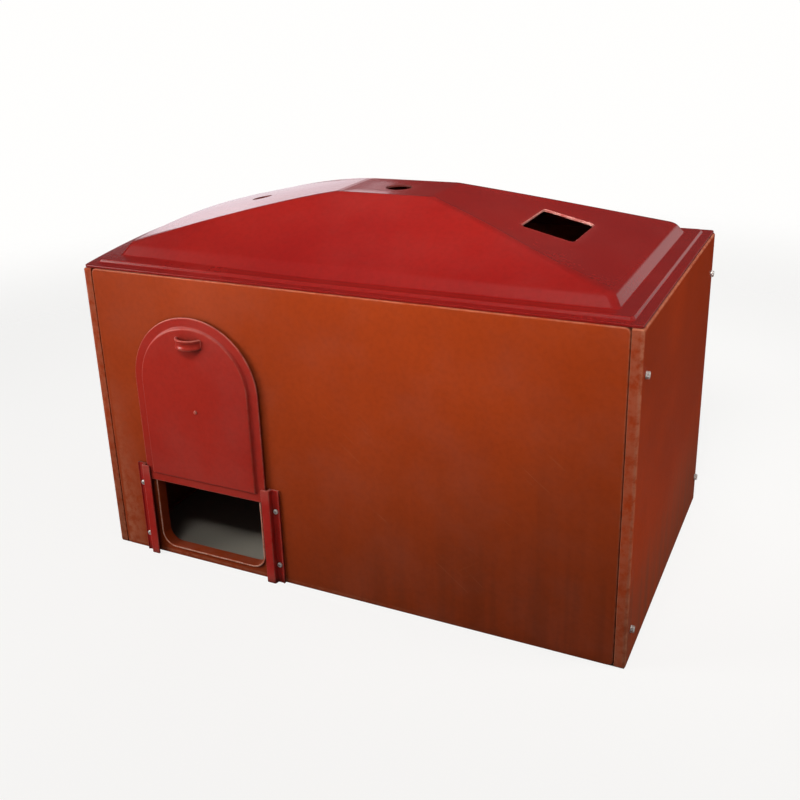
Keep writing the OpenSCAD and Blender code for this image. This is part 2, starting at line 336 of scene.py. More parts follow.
def settle(piece: Solid, body: Body, slot: Slot, *nodes: str) -> None:
    """Puts a finished piece on its body and in the place of its CAD nodes.

    Args:
        piece: The finished object.
        body: The body it rides on.
        slot: Not used.
        nodes: The CAD nodes that it stands for.
    """
    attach(piece, body.value)
    if nodes:
        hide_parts(*nodes)
    LOG.info("%s: %d faces, rides on %s", piece.name, len(piece.data.polygons), body.value)


# ---------------------------------------------------------------------------
# Shader effects shared by several finishes
# ---------------------------------------------------------------------------


class Wiring:
    """A node tree with short ways to add, set and link nodes."""

    def __init__(self, tree: bpy.types.NodeTree) -> None:
        """Wraps a node tree."""
        self.tree = tree

    def add(self, kind: str, settings: dict[str, object] | None = None, **inputs: object) -> bpy.types.Node:
        """Adds a node.

        Args:
            kind: Blender's node type.
            settings: Properties of the node itself.
            inputs: Values or sockets for its inputs, by name, with _ for a space.

        Returns:
            The node.
        """
        node = self.tree.nodes.new(kind)
        for key, value in (settings or {}).items():
            setattr(node, key, value)
        for key, value in inputs.items():
            self.put(node.inputs[key.replace("_", " ")], value)
        return node

    def put(self, socket: Socket, value: object) -> None:
        """Links a socket to an input, or sets the input's value."""
        if isinstance(value, bpy.types.NodeSocket):
            self.tree.links.new(value, socket)
        else:
            socket.default_value = value

    def maths(self, operation: str, a: object, b: object = 0.5, clamp: bool = False) -> Socket:
        """One arithmetic step on two values or sockets."""
        node = self.add("ShaderNodeMath", {"operation": operation, "use_clamp": clamp})
        self.put(node.inputs[0], a)
        self.put(node.inputs[1], b)
        return node.outputs[0]

    def ramp(
        self, value: object, low: object, high: object, out_low: object = 0.0, out_high: object = 1.0
    ) -> Socket:
        """Maps a value from one range to another with soft ends."""
        node = self.add("ShaderNodeMapRange", {"interpolation_type": "SMOOTHSTEP"})
        names = ("Value", "From Min", "From Max", "To Min", "To Max")
        for name, setting in zip(names, (value, low, high, out_low, out_high)):
            self.put(node.inputs[name], setting)
        return node.outputs["Result"]

    def mix(self, share: object, a: object, b: object) -> Socket:
        """Mixes two colours by a share."""
        node = self.add("ShaderNodeMix", {"data_type": "RGBA"})
        self.put(node.inputs["Factor"], share)
        self.put(node.inputs[6], a)
        self.put(node.inputs[7], b)
        return node.outputs[2]

    def noise(self, vector: object, scale: object, detail: float = 2.0, rough: float = 0.5) -> Socket:
        """Fractal noise between 0 and 1."""
        node = self.add("ShaderNodeTexNoise", Vector=vector, Scale=scale, Detail=detail, Roughness=rough)
        return node.outputs["Fac"]

    def mapped(self, vector: object, turn: object = (0, 0, 0), scale: object = (1, 1, 1)) -> Socket:
        """A vector turned and stretched."""
        node = self.add("ShaderNodeMapping", Vector=vector, Rotation=turn, Scale=scale)
        return node.outputs["Vector"]

    def effect(self, tree: bpy.types.NodeTree, place: Socket, **inputs: object) -> Socket:
        """Places a shared effect and returns its output."""
        return self.add("ShaderNodeGroup", {"node_tree": tree}, Vector=place, **inputs).outputs[0]

    def surface(self, height: object, strength: float, distance: float, **inputs: object) -> None:
        """Ends a material with a bumped surface.

        Args:
            height: What the bump follows.
            strength: How strong the bump is.
            distance: How high it is.
            inputs: The surface's other inputs.
        """
        bump = self.add("ShaderNodeBump", Height=height, Strength=strength, Distance=distance)
        shader = self.add("ShaderNodeBsdfPrincipled", Normal=bump.outputs["Normal"], **inputs)
        self.add("ShaderNodeOutputMaterial", Surface=shader.outputs["BSDF"])


def blank_material(name: str) -> tuple[bpy.types.Material, Wiring, Socket]:
    """Starts a material.

    Args:
        name: The material's name.

    Returns:
        The material, its empty wiring and the object's own coordinates.
    """
    material = bpy.data.materials.new(name)
    material.use_nodes = True
    material.node_tree.nodes.clear()
    wiring = Wiring(material.node_tree)
    return material, wiring, wiring.add("ShaderNodeTexCoord").outputs["Object"]


class Effect:
    """A node group with named inputs and one output that several materials share."""

    def __init__(self, name: str, output: str = "Mask", kind: str = "Float", **inputs: object) -> None:
        """Makes the group's sockets, of which the first is always a place.

        Args:
            name: The group's name.
            output: Its output's name.
            kind: Its output's kind.
            inputs: Each further input's name and default value.
        """
        self.tree = bpy.data.node_groups.new(name, "ShaderNodeTree")
        kinds = {1: "Float", 3: "Vector", 4: "Color"}
        for key, value in {"Vector": (0.0, 0.0, 0.0), **inputs}.items():
            sort = "NodeSocket" + kinds[len(value) if isinstance(value, tuple) else 1]
            socket = self.tree.interface.new_socket(key, in_out="INPUT", socket_type=sort)
            socket.default_value = value
        self.output = output
        self.tree.interface.new_socket(output, in_out="OUTPUT", socket_type="NodeSocket" + kind)
        self.wiring = Wiring(self.tree)
        self.source = self.tree.nodes.new("NodeGroupInput").outputs
        self.result = self.tree.nodes.new("NodeGroupOutput").inputs

    def out(self, value: Socket) -> bpy.types.NodeTree:
        """Feeds the group's output and returns the finished group."""
        self.wiring.put(self.result[self.output], value)
        return self.tree


class Effects:
    """All the shared effects, each built once."""

    def __init__(self) -> None:
        """Builds the groups."""
        self.drift = self.colour_drift()
        self.wear_and_highlight = self.edge_wear_and_highlight()
        self.scuffs = self.fine_scuffs()
        self.film = self.dust_film()
        self.skin = self.moulded_skin()
        self.grime_and_shade = self.corner_grime_and_shade()
        self.stain_and_shade = self.run_stain_and_shade()

    @staticmethod
    def run_stain_and_shade() -> bpy.types.NodeTree:
        """Mask that deepens along a direction, drawn out in upright runs: dirt runs, and painted shade where
        the light falls off.

        Returns:
            The group, with a Mask output.
        """
        effect = Effect("run_stain_and_shade", Along=(0.0, 0.0, -1.0), Start=-0.3, End=0.0, Ragged=0.12, Runs=0.4)
        w, s = effect.wiring, effect.source
        dot = w.add("ShaderNodeVectorMath", {"operation": "DOT_PRODUCT"})
        w.put(dot.inputs[0], s["Vector"])
        w.put(dot.inputs[1], s["Along"])
        uneven = w.maths("SUBTRACT", w.noise(s["Vector"], 5.0, 4.0, 0.6), 0.5)
        ragged = w.maths("MULTIPLY", uneven, s["Ragged"])
        runs = w.noise(w.mapped(s["Vector"], scale=(1.0, 1.0, 0.05)), 38.0, 3.0, 0.6)
        far = w.maths("ADD", dot.outputs["Value"], w.maths("MULTIPLY", ragged, 2.0))
        depth = w.ramp(far, s["Start"], s["End"])
        streaks = w.ramp(runs, 0.35, 0.68, w.maths("SUBTRACT", 1.0, s["Runs"]), 1.0)
        return effect.out(w.maths("MULTIPLY", depth, streaks, clamp=True))

    @staticmethod
    def colour_drift() -> bpy.types.NodeTree:
        """Slow drift between two colours, with a finer mottle.

        Returns:
            The group, with a Colour output.
        """
        light, deep = (0.5, 0.1, 0.05, 1.0), (0.3, 0.05, 0.02, 1.0)
        effect = Effect("colour_drift", "Colour", "Color", Light=light, Deep=deep, Scale=3.0, Mottle=0.15)
        w, s = effect.wiring, effect.source
        broad = w.ramp(w.noise(s["Vector"], s["Scale"], 3.0, 0.55), 0.3, 0.7)
        fine = w.noise(s["Vector"], w.maths("MULTIPLY", s["Scale"], 45.0), 3.0, 0.6)
        colour = w.mix(broad, s["Deep"], s["Light"])
        mottle = w.maths("MULTIPLY", w.ramp(fine, 0.35, 0.75), s["Mottle"])
        return effect.out(w.mix(mottle, colour, (0.03, 0.005, 0.003, 1.0)))

    @staticmethod
    def edge_wear_and_highlight() -> bpy.types.NodeTree:
        """Mask of outer edges, broken up by noise: wear, with a painted highlight along the edges.

        Returns:
            The group, with a Mask output.
        """
        effect = Effect("edge_wear_and_highlight", Start=0.505, End=0.54, Breakup=60.0)
        w, s = effect.wiring, effect.source
        sharp = w.add("ShaderNodeNewGeometry").outputs["Pointiness"]
        edge = w.ramp(sharp, s["Start"], s["End"])
        broken = w.ramp(w.noise(s["Vector"], s["Breakup"], 4.0, 0.65), 0.32, 0.62, 0.15, 1.0)
        return effect.out(w.maths("MULTIPLY", edge, broken, clamp=True))

    @staticmethod
    def fine_scuffs() -> bpy.types.NodeTree:
        """Thin scratches in one direction, in patches.

        Returns:
            The group, with a Mask output.
        """
        effect = Effect("fine_scuffs", Turn=(0.0, 0.0, 0.0), Fineness=220.0, Patches=5.0, Cover=0.5)
        w, s = effect.wiring, effect.source
        bent = w.add("ShaderNodeVectorMath", {"operation": "ADD"})
        w.put(bent.inputs[0], s["Vector"])
        sway = w.add("ShaderNodeTexNoise", Vector=s["Vector"], Scale=3.0, Detail=1.0)
        push = w.add("ShaderNodeVectorMath", {"operation": "SCALE"}, Scale=0.03)
        w.put(push.inputs[0], sway.outputs["Color"])
        w.put(bent.inputs[1], push.outputs[0])
        turned = w.mapped(bent.outputs[0], turn=s["Turn"])
        long = w.mapped(turned, scale=(1.0, 1.0, 0.035))
        lines = w.ramp(w.noise(long, s["Fineness"], 2.0, 0.5), 0.655, 0.70)
        patches = w.noise(s["Vector"], s["Patches"], 2.0, 0.5)
        floor = w.maths("SUBTRACT", 1.0, s["Cover"])
        where = w.ramp(patches, floor, w.maths("ADD", floor, 0.18))
        return effect.out(w.maths("MULTIPLY", lines, where, clamp=True))

    @staticmethod
    def dust_film() -> bpy.types.NodeTree:
        """Film of dust, thicker on what faces up and in cloudy patches.

        Returns:
            The group, with a Mask output.
        """
        effect = Effect("dust_film", Upward=0.6, Base=0.2, Cloud=7.0)
        w, s = effect.wiring, effect.source
        normal = w.add("ShaderNodeNewGeometry").outputs["Normal"]
        up = w.add("ShaderNodeSeparateXYZ", Vector=normal).outputs["Z"]
        lying = w.maths("MULTIPLY", w.ramp(up, 0.35, 1.0), s["Upward"])
        cloud = w.noise(s["Vector"], s["Cloud"], 5.0, 0.62)
        speck = w.noise(s["Vector"], 380.0, 2.0, 0.6)
        grain = w.maths("ADD", w.ramp(cloud, 0.38, 0.72), w.ramp(speck, 0.62, 0.74, 0.0, 0.5))
        total = w.maths("MULTIPLY", w.maths("ADD", lying, s["Base"]), grain, clamp=True)
        return effect.out(total)

    @staticmethod
    def moulded_skin() -> bpy.types.NodeTree:
        """Height of a pressed skin: long shallow waves and a fine grain.

        Returns:
            The group, with a Height output.
        """
        effect = Effect("moulded_skin", "Height", Waves=4.0, Depth=1.0, Grain=0.05, Fineness=700.0)
        w, s = effect.wiring, effect.source
        waves = w.maths("MULTIPLY", w.noise(s["Vector"], s["Waves"], 2.0, 0.45), s["Depth"])
        peel = w.maths("MULTIPLY", w.noise(s["Vector"], s["Fineness"], 2.0, 0.5), s["Grain"])
        return effect.out(w.maths("ADD", waves, peel))

    @staticmethod
    def corner_grime_and_shade() -> bpy.types.NodeTree:
        """Mask of corners and contacts from ambient occlusion: dirt held there, and painted shade.

        Returns:
            The group, with a Mask output.
        """
        effect = Effect("corner_grime_and_shade", Reach=0.02, Amount=0.7)
        w, s = effect.wiring, effect.source
        shade = w.add("ShaderNodeAmbientOcclusion", {"samples": 6})
        w.put(shade.inputs["Distance"], s["Reach"])
        hidden = w.ramp(shade.outputs["AO"], 0.35, 0.95, 1.0, 0.0)
        patchy = w.ramp(w.noise(s["Vector"], 26.0, 4.0, 0.6), 0.3, 0.65, 0.35, 1.0)
        return effect.out(w.maths("MULTIPLY", w.maths("MULTIPLY", hidden, patchy), s["Amount"], clamp=True))


# ---------------------------------------------------------------------------
# Finishes
# ---------------------------------------------------------------------------


@dataclass(frozen=True)
class Gelcoat:
    """A pressed or laid-up plastic skin with its wear, dust and scuffs, painted shade in corners and low
    down, and a painted highlight along edges.
    """

    name: str
    light: Colour
    deep: Colour
    worn_and_highlight: Colour
    rough: float
    specular: float
    scuff_turn: Point3
    dust: Colour = (0.62, 0.56, 0.53, 1.0)
    # Colour of dirt and painted shade in corners and against neighbours.
    grime_and_shade: Colour = (0.035, 0.014, 0.009, 1.0)
    rough_worn: float = 0.55
    coat: float = 0.1
    coat_rough: float = 0.08
    drift_scale: float = 2.6
    mottle: float = 0.12
    dust_up: float = 0.5
    dust_base: float = 0.10
    dust_strength: float = 0.25
    scuff_cover: float = 0.45
    scuff_strength: float = 0.14
    wear_and_highlight_strength: float = 0.6
    wave_depth: float = 0.6
    wave_scale: float = 3.5
    grain: float = 0.05
    bump: float = 0.2
    grime_and_shade_amount: float = 0.45
    stain_and_shade: Colour = (0.06, 0.02, 0.012, 1.0)
    stain_and_shade_along: Point3 = (0.0, 0.0, -1.0)
    stain_and_shade_span: Point2 = (-0.3, 0.0)
    stain_and_shade_strength: float = 0.0
    stain_and_shade_runs: float = 0.4

    def build(self, effects: Effects) -> bpy.types.Material:
        """Builds the material.

        Args:
            effects: The shared node groups.

        Returns:
            The finished material.
        """
        material, w, place = blank_material(self.name)
        tones = {"Light": self.light, "Deep": self.deep, "Scale": self.drift_scale, "Mottle": self.mottle}
        drift = w.effect(effects.drift, place, **tones)
        wear_and_highlight = w.effect(effects.wear_and_highlight, place)
        scuffs = w.effect(effects.scuffs, place, Turn=self.scuff_turn, Cover=self.scuff_cover)
        turn = (0.0, self.scuff_turn[1] + 1.3, 0.4)
        cross = w.effect(effects.scuffs, place, Turn=turn, Cover=self.scuff_cover - 0.06, Fineness=150.0)
        film = w.effect(effects.film, place, Upward=self.dust_up, Base=self.dust_base)
        grime_and_shade = w.effect(effects.grime_and_shade, place, Amount=self.grime_and_shade_amount)
        waves = {"Waves": self.wave_scale, "Depth": self.wave_depth, "Grain": self.grain}
        skin = w.effect(effects.skin, place, **waves)
        lines = w.maths("MAXIMUM", scuffs, cross)
        start, end = self.stain_and_shade_span
        runs = {"Along": self.stain_and_shade_along, "Start": start, "End": end, "Runs": self.stain_and_shade_runs}
        stain_and_shade = w.effect(effects.stain_and_shade, place, **runs)
        colour = drift
        for mask, strength, over in (
            # Darker along a direction: painted shade, with dirt runs.
            (stain_and_shade, self.stain_and_shade_strength, self.stain_and_shade),
            # Lighter outer edges: wear, and a painted highlight along them.
            (wear_and_highlight, self.wear_and_highlight_strength, self.worn_and_highlight),
            (lines, self.scuff_strength, self.worn_and_highlight),
            (film, self.dust_strength, self.dust),
        ):
            colour = w.mix(w.maths("MULTIPLY", mask, strength), colour, over)
        # Painted shade with dirt: ambient occlusion darkens corners and contacts.
        colour = w.mix(grime_and_shade, colour, self.grime_and_shade)
        used = w.maths("MAXIMUM", w.maths("MAXIMUM", film, lines), grime_and_shade)
        roughness = w.ramp(used, 0.0, 1.0, self.rough, self.rough_worn)
        clean = w.maths("MULTIPLY", w.maths("SUBTRACT", 1.0, used, clamp=True), self.coat)
        height = w.maths("SUBTRACT", skin, w.maths("MULTIPLY", lines, 0.02))
        w.surface(
            height, self.bump, 0.004, Base_Color=colour, Roughness=roughness, Coat_Weight=clean,
            Coat_Roughness=self.coat_rough, Specular_IOR_Level=self.specular,
        )
        return material


@dataclass(frozen=True)
class CutEdge:
    """The pale sawn edge of a glass-fibre moulding, with fibres along the cut."""

    name: str = "cut_edge"
    pale: Colour = (0.62, 0.33, 0.28, 1.0)
    red: Colour = (0.36, 0.06, 0.05, 1.0)
    rough: float = 0.75

    def build(self, effects: Effects) -> bpy.types.Material:
        """Builds the material.

        Args:
            effects: The shared node groups.

        Returns:
            The finished material.
        """
        material, w, place = blank_material(self.name)
        fibres = w.noise(w.mapped(place, scale=(1.0, 1.0, 0.15)), 900.0, 3.0, 0.6)
        patches = w.noise(place, 70.0, 3.0, 0.6)
        share = w.maths("MULTIPLY", w.ramp(fibres, 0.35, 0.65), w.ramp(patches, 0.3, 0.6))
        colour = w.mix(share, self.red, self.pale)
        # Painted shade with dirt: ambient occlusion darkens the cut's corners.
        grime_and_shade = w.effect(effects.grime_and_shade, place, Amount=0.3, Reach=0.01)
        colour = w.mix(grime_and_shade, colour, (0.08, 0.03, 0.02, 1.0))
        w.surface(fibres, 0.5, 0.0006, Base_Color=colour, Roughness=self.rough)
        return material


@dataclass(frozen=True)
class ZincSteel:
    """Bright zinc plating with dull patches, and dirt and painted shade in the corners."""

    name: str = "zinc_steel"
    bright: Colour = (0.82, 0.81, 0.79, 1.0)
    dull: Colour = (0.50, 0.49, 0.47, 1.0)
    rough: float = 0.28
    rough_dull: float = 0.52
    metal: float = 0.55

    def build(self, effects: Effects) -> bpy.types.Material:
        """Builds the material.

        Args:
            effects: The shared node groups.

        Returns:
            The finished material.
        """
        material, w, place = blank_material(self.name)
        tone = w.effect(effects.drift, place, Light=self.bright, Deep=self.dull, Scale=120.0, Mottle=0.1)
        grime_and_shade = w.effect(effects.grime_and_shade, place, Amount=0.8, Reach=0.004)
        wear_and_highlight = w.effect(effects.wear_and_highlight, place, Breakup=300.0)
        # Lighter edges: wear, and a painted highlight along them.
        colour = w.mix(w.maths("MULTIPLY", wear_and_highlight, 0.5), tone, (0.95, 0.95, 0.94, 1.0))
        # Painted shade with dirt: ambient occlusion darkens the corners.
        colour = w.mix(grime_and_shade, colour, (0.10, 0.07, 0.05, 1.0))
        patches = w.noise(place, 260.0, 3.0, 0.6)
        roughness = w.ramp(patches, 0.3, 0.7, self.rough, self.rough_dull)
        metallic = w.maths("SUBTRACT", self.metal, w.maths("MULTIPLY", grime_and_shade, 0.5), clamp=True)
        w.surface(patches, 0.25, 0.0003, Base_Color=colour, Roughness=roughness, Metallic=metallic)
        return material


class Finishes:
    """Every material of the box, built once."""

    def __init__(self) -> None:
        """Builds the shared effects and then the finishes."""
        effects = Effects()
        # The front's stain is painted shade falling off towards the lower right, with dirt runs low down.
        self.front = Gelcoat(
            name="wall_front",
            light=(0.42, 0.054, 0.009, 1.0),
            deep=(0.33, 0.040, 0.006, 1.0),
            worn_and_highlight=(0.55, 0.24, 0.14, 1.0),
            rough=0.40, coat=0.0, coat_rough=0.18, specular=0.14, dust_base=0.12, dust_strength=0.14,
            wear_and_highlight_strength=0.42, scuff_turn=(0.0, 0.9, 0.0), scuff_cover=0.44, scuff_strength=0.15,
            stain_and_shade=(0.10, 0.020, 0.006, 1.0), stain_and_shade_along=(0.35, 0.0, -1.0), stain_and_shade_span=(-0.36, 0.08),
            stain_and_shade_strength=0.62, stain_and_shade_runs=0.25,
        ).build(effects)
        # The end's stain darkens and dulls the low part: a painted reflection of the floor, with dirt runs.
        self.end = Gelcoat(
            name="wall_end",
            light=(0.41, 0.040, 0.003, 1.0),
            deep=(0.28, 0.026, 0.002, 1.0),
            worn_and_highlight=(0.52, 0.22, 0.13, 1.0),
            rough=0.50, coat=0.0, coat_rough=0.15, specular=0.04, dust_strength=0.06,
            scuff_turn=(0.7, 0.0, 0.0), scuff_cover=0.42,
            stain_and_shade=(0.13, 0.055, 0.030, 1.0), stain_and_shade_span=(-0.24, -0.02), stain_and_shade_strength=0.70, stain_and_shade_runs=0.6,
        ).build(effects)
        self.lid = Gelcoat(
            name="lid_gelcoat",
            light=(0.26, 0.011, 0.008, 1.0),
            deep=(0.21, 0.007, 0.006, 1.0),
            worn_and_highlight=(0.55, 0.20, 0.18, 1.0),
            rough=0.24, rough_worn=0.30, coat=0.2, specular=0.35, dust_up=0.10, dust_base=0.03,
            dust_strength=0.08, wear_and_highlight_strength=0.06, grime_and_shade_amount=0.08, bump=0.12,
            scuff_turn=(1.2, 0.2, 0.5), scuff_cover=0.36, scuff_strength=0.12,
            wave_depth=0.9, wave_scale=5.0, grain=0.02,
        ).build(effects)
        self.door = Gelcoat(
            name="door_gelcoat",
            light=(0.43, 0.024, 0.013, 1.0),
            deep=(0.36, 0.018, 0.010, 1.0),
            worn_and_highlight=(0.60, 0.24, 0.18, 1.0),
            rough=0.30, coat_rough=0.06, specular=0.22, scuff_turn=(0.0, 0.5, 0.0), scuff_cover=0.34,
            wave_depth=0.5, grain=0.02, wear_and_highlight_strength=0.7, grime_and_shade_amount=0.7,
        ).build(effects)
        self.rail = Gelcoat(
            name="rail_plastic",
            light=(0.50, 0.015, 0.009, 1.0),
            deep=(0.40, 0.010, 0.006, 1.0),
            worn_and_highlight=(0.50, 0.17, 0.13, 1.0),
            rough=0.36, coat_rough=0.1, specular=0.25, dust_base=0.12, scuff_turn=(0.0, 0.1, 0.0),
            scuff_strength=0.35, wave_depth=0.3, grain=0.03, grime_and_shade_amount=0.9,
        ).build(effects)
        self.cut = CutEdge().build(effects)
        dull = CutEdge("dull_cut_edge", pale=(0.16, 0.030, 0.024, 1.0), red=(0.08, 0.010, 0.008, 1.0))
        self.dull_cut = dull.build(effects)
        # Pale bead crest: a painted highlight along the crest, with wear.
        bead = CutEdge("bead_highlight_and_wear", pale=(0.66, 0.40, 0.32, 1.0), red=(0.44, 0.13, 0.07, 1.0))
        self.bead_highlight_and_wear = bead.build(effects)
        self.zinc = ZincSteel().build(effects)


def dress(piece: Solid, *materials: bpy.types.Material) -> None:
    """Gives a piece its materials in place of any it has."""
    piece.data.materials.clear()
    for material in materials:
        piece.data.materials.append(material)


# ---------------------------------------------------------------------------
# Walls
# ---------------------------------------------------------------------------


@dataclass
class Walls:
    """The four pan-shaped wall panels."""

    finishes: Finishes
    door_lift: float
    skin: float = 4 * MM
    edge_depth: float = 18 * MM
    panel_corner: float = 9 * MM
    front_edge: float = 2.6 * MM
    end_edge: float = 6.5 * MM
    bead: float = 4 * MM
    reveal: float = 18 * MM
    doorway_corner: float = 26 * MM
    support: float = 6 * MM
    sill: float = 22 * MM
    door_lap: float = 18 * MM
    boss: float = 10 * MM
    back_corner: float = 2 * MM
    end_corner: float = 3 * MM
    flange_corner: float = 5 * MM
    flange_round: float = 1 * MM
    flange_from: float = 0.4
    bolt_rows: tuple[str, str] = ("front", "rear")

    def pan_path(self, edge: float) -> list[Knot]:
        """The cross-section of a pan's edge as insets and depths.

        Args:
            edge: Rounding of the outer edge.

        Returns:
            The path from the flat of the face, round the edge, to the flat behind.
        """
        t, d, s = self.skin, self.edge_depth, self.support
        knots = [(s + edge, 0.0), (0.0, 0.0), (0.0, d), (t, d), (t, t), (t + s + self.back_corner, t)]
        return filleted(knots, [0, edge, 1.2 * MM, 1.2 * MM, self.back_corner, 0], steps=6)

    def pan(
        self,
        draft: Draft,
        half_u: float,
        half_v: float,
        corner: float,
        edge: float,
        put: Callable[[float, float, float], Vector],
    ) -> list[Loop]:
        """Lofts a pan's edge all round.

        Args:
            draft: The mesh to add to.
            half_u: Half its width.
            half_v: Half its height.
            corner: Radius of its four corners.
            edge: Rounding of its outer edge.
            put: Turns a point of the outline and a depth into a place.

        Returns:
            The loops, whose first and last bound the flats in front and behind.
        """
        path = self.pan_path(edge)
        return draft.loft(
            [put(u, v, depth) for u, v in round_rect(half_u - inset, half_v - inset, corner - inset)]
            for inset, depth in path
        )

    def flange(self, draft: Draft, low: Vector, high: Vector, axis: int) -> None:
        """A flat bolting flange with rounded edges.

        Args:
            draft: The mesh to add to.
            low: Lowest corner.
            high: Highest corner.
            axis: The axis of its thickness.
        """
        a, b = [i for i in range(3) if i != axis]
        middle, half = (low + high) / 2, (high - low) / 2
        r = self.flange_round

        def place(u: float, v: float, w: float) -> Vector:
            spot = Vector(middle)
            spot[a] += u
            spot[b] += v
            spot[axis] += w
            return spot

        steps = ((r, -half[axis]), (0.0, r - half[axis]), (0.0, half[axis] - r), (r, half[axis]))
        draft.tube(
            [
                place(u, v, w)
                for u, v in round_rect(half[a] - inset, half[b] - inset, self.flange_corner - inset)
            ]
            for inset, w in steps
        )

    def doorway(self, draft: Draft, middle_x: float, front: float) -> list[Loop]:
        """Lofts the doorway's bead and reveal.

        Args:
            draft: The mesh to add to.
            middle_x: Centre of the doorway.
            front: The front face's place along y.

        Returns:
            The loops, whose first and last bound the flats in front and behind.
        """
        door_low, door_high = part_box("door")
        half = (door_high.x - door_low.x) / 2 - self.door_lap
        spring = door_high.z - self.door_lift - (door_high.x - door_low.x) / 2
        b, t, s = self.bead, self.skin, self.support
        knots = [
            (b + s, 0.0), (b, 0.0), (b, -b), (0.0, -b),
            (0.0, self.reveal), (t, self.reveal), (t, t), (t + s, t),
        ]
        path = filleted(knots, [0, 1.2 * MM, 1.9 * MM, 1.9 * MM, 1.2 * MM, 1.2 * MM, 1.5 * MM, 0], steps=6)
        return draft.loft(
            [
                Vector((middle_x + u, front + depth, v))
                for u, v in arch(half + out, self.sill - out, spring, self.doorway_corner + out)
            ]
            for out, depth in path
        )

    def front_or_rear(self, name: str, front_face: float, inward: float, with_doorway: bool) -> Solid:
        """Builds the front or the rear panel.

        Args:
            name: The CAD node it stands for.
            front_face: Where its outer face lies along y.
            inward: +1 if the inside is towards +y, else -1.
            with_doorway: Whether it has the doorway.

        Returns:
            The panel.
        """
        low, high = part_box(name)
        middle = (low + high) / 2
        half_u, half_v = (high.x - low.x) / 2, (high.z - low.z) / 2
        draft = Draft()

        def put(u: float, v: float, depth: float) -> Vector:
            return Vector((middle.x + u, front_face + inward * depth, middle.z + v))

        loops = self.pan(draft, half_u, half_v, self.panel_corner, self.front_edge, put)
        if with_doorway:
            openings = self.doorway(draft, box_middle("door").x, front_face)
            draft.fill(loops[0], openings[0])
            draft.fill(loops[-1], openings[-1])
        else:
            draft.cap(loops[0])
            draft.cap(loops[-1])
        flange_end = (high.y - low.y) - (self.bead if with_doorway else 0)
        for side in (-1, 1):
            x_out = middle.x + side * half_u
            x_in = x_out - side * self.skin
            y0 = front_face + inward * self.flange_from * self.edge_depth
            y1 = front_face + inward * flange_end
            self.flange(
                draft,
                Vector((min(x_out, x_in), min(y0, y1), low.z + self.panel_corner)),
                Vector((max(x_out, x_in), max(y0, y1), high.z - self.panel_corner)),
                axis=0,
            )
        panel = draft.piece(name + "_moulding")
        dress(panel, self.finishes.front, self.finishes.bead_highlight_and_wear)
        # The bead's front faces take the pale bead material: a painted highlight along the crest, with wear.
        crest = front_face - 0.9 * self.bead
        for face in panel.data.polygons:
            if with_doorway and face.center.y < crest:
                face.material_index = 1
        return panel

    def end_panel(self, name: str, side: int) -> Solid:
        """Builds an end panel.

        Args:
            name: The CAD node it stands for.
            side: -1 for the left end, +1 for the right.

        Returns:
            The panel.
        """
        low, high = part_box(name)
        middle = (low + high) / 2
        half_u, half_v = (high.y - low.y) / 2, (high.z - low.z) / 2
        face = high.x if side > 0 else low.x
        draft = Draft()

        def put(u: float, v: float, depth: float) -> Vector:
            return Vector((face - side * depth, middle.y + u, middle.z + v))

        loops = self.pan(draft, half_u, half_v, self.end_corner, self.end_edge, put)
        draft.cap(loops[0])
        draft.cap(loops[-1])
        for row in self.bolt_rows:
            node = f"{row}_{'right' if side > 0 else 'left'}_bolts"
            for spot in Fasteners.centres(node):
                start, end = face - side * self.skin * 0.5, face - side * (self.edge_depth + 1 * MM)
                neck = face - side * self.skin * 1.4
                steps = (
                    (start, self.boss * 1.1), (neck, self.boss * 1.04),
                    (end + side * 1 * MM, self.boss), (end, self.boss - 0.8 * MM),
                )
                draft.tube(
                    [Vector((x, spot[0] + u, spot[1] + v)) for u, v in circle(r, 24)] for x, r in steps
                )
        panel = draft.piece(name + "_moulding")
        dress(panel, self.finishes.end)
        return panel

    def build(self) -> None:
        """Builds all four walls."""
        front_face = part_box("front_panel")[0].y + self.bead
        rear_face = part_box("rear_panel")[1].y
        for name, face, inward in (("front_panel", front_face, 1), ("rear_panel", rear_face, -1)):
            settle(self.front_or_rear(name, face, inward, inward > 0), Body.SHELL, Slot.WALL, name)
        for name, side in (("left_end_panel", -1), ("right_end_panel", 1)):
            settle(self.end_panel(name, side), Body.SHELL, Slot.WALL, name)


# ---------------------------------------------------------------------------
# Lid
# ---------------------------------------------------------------------------


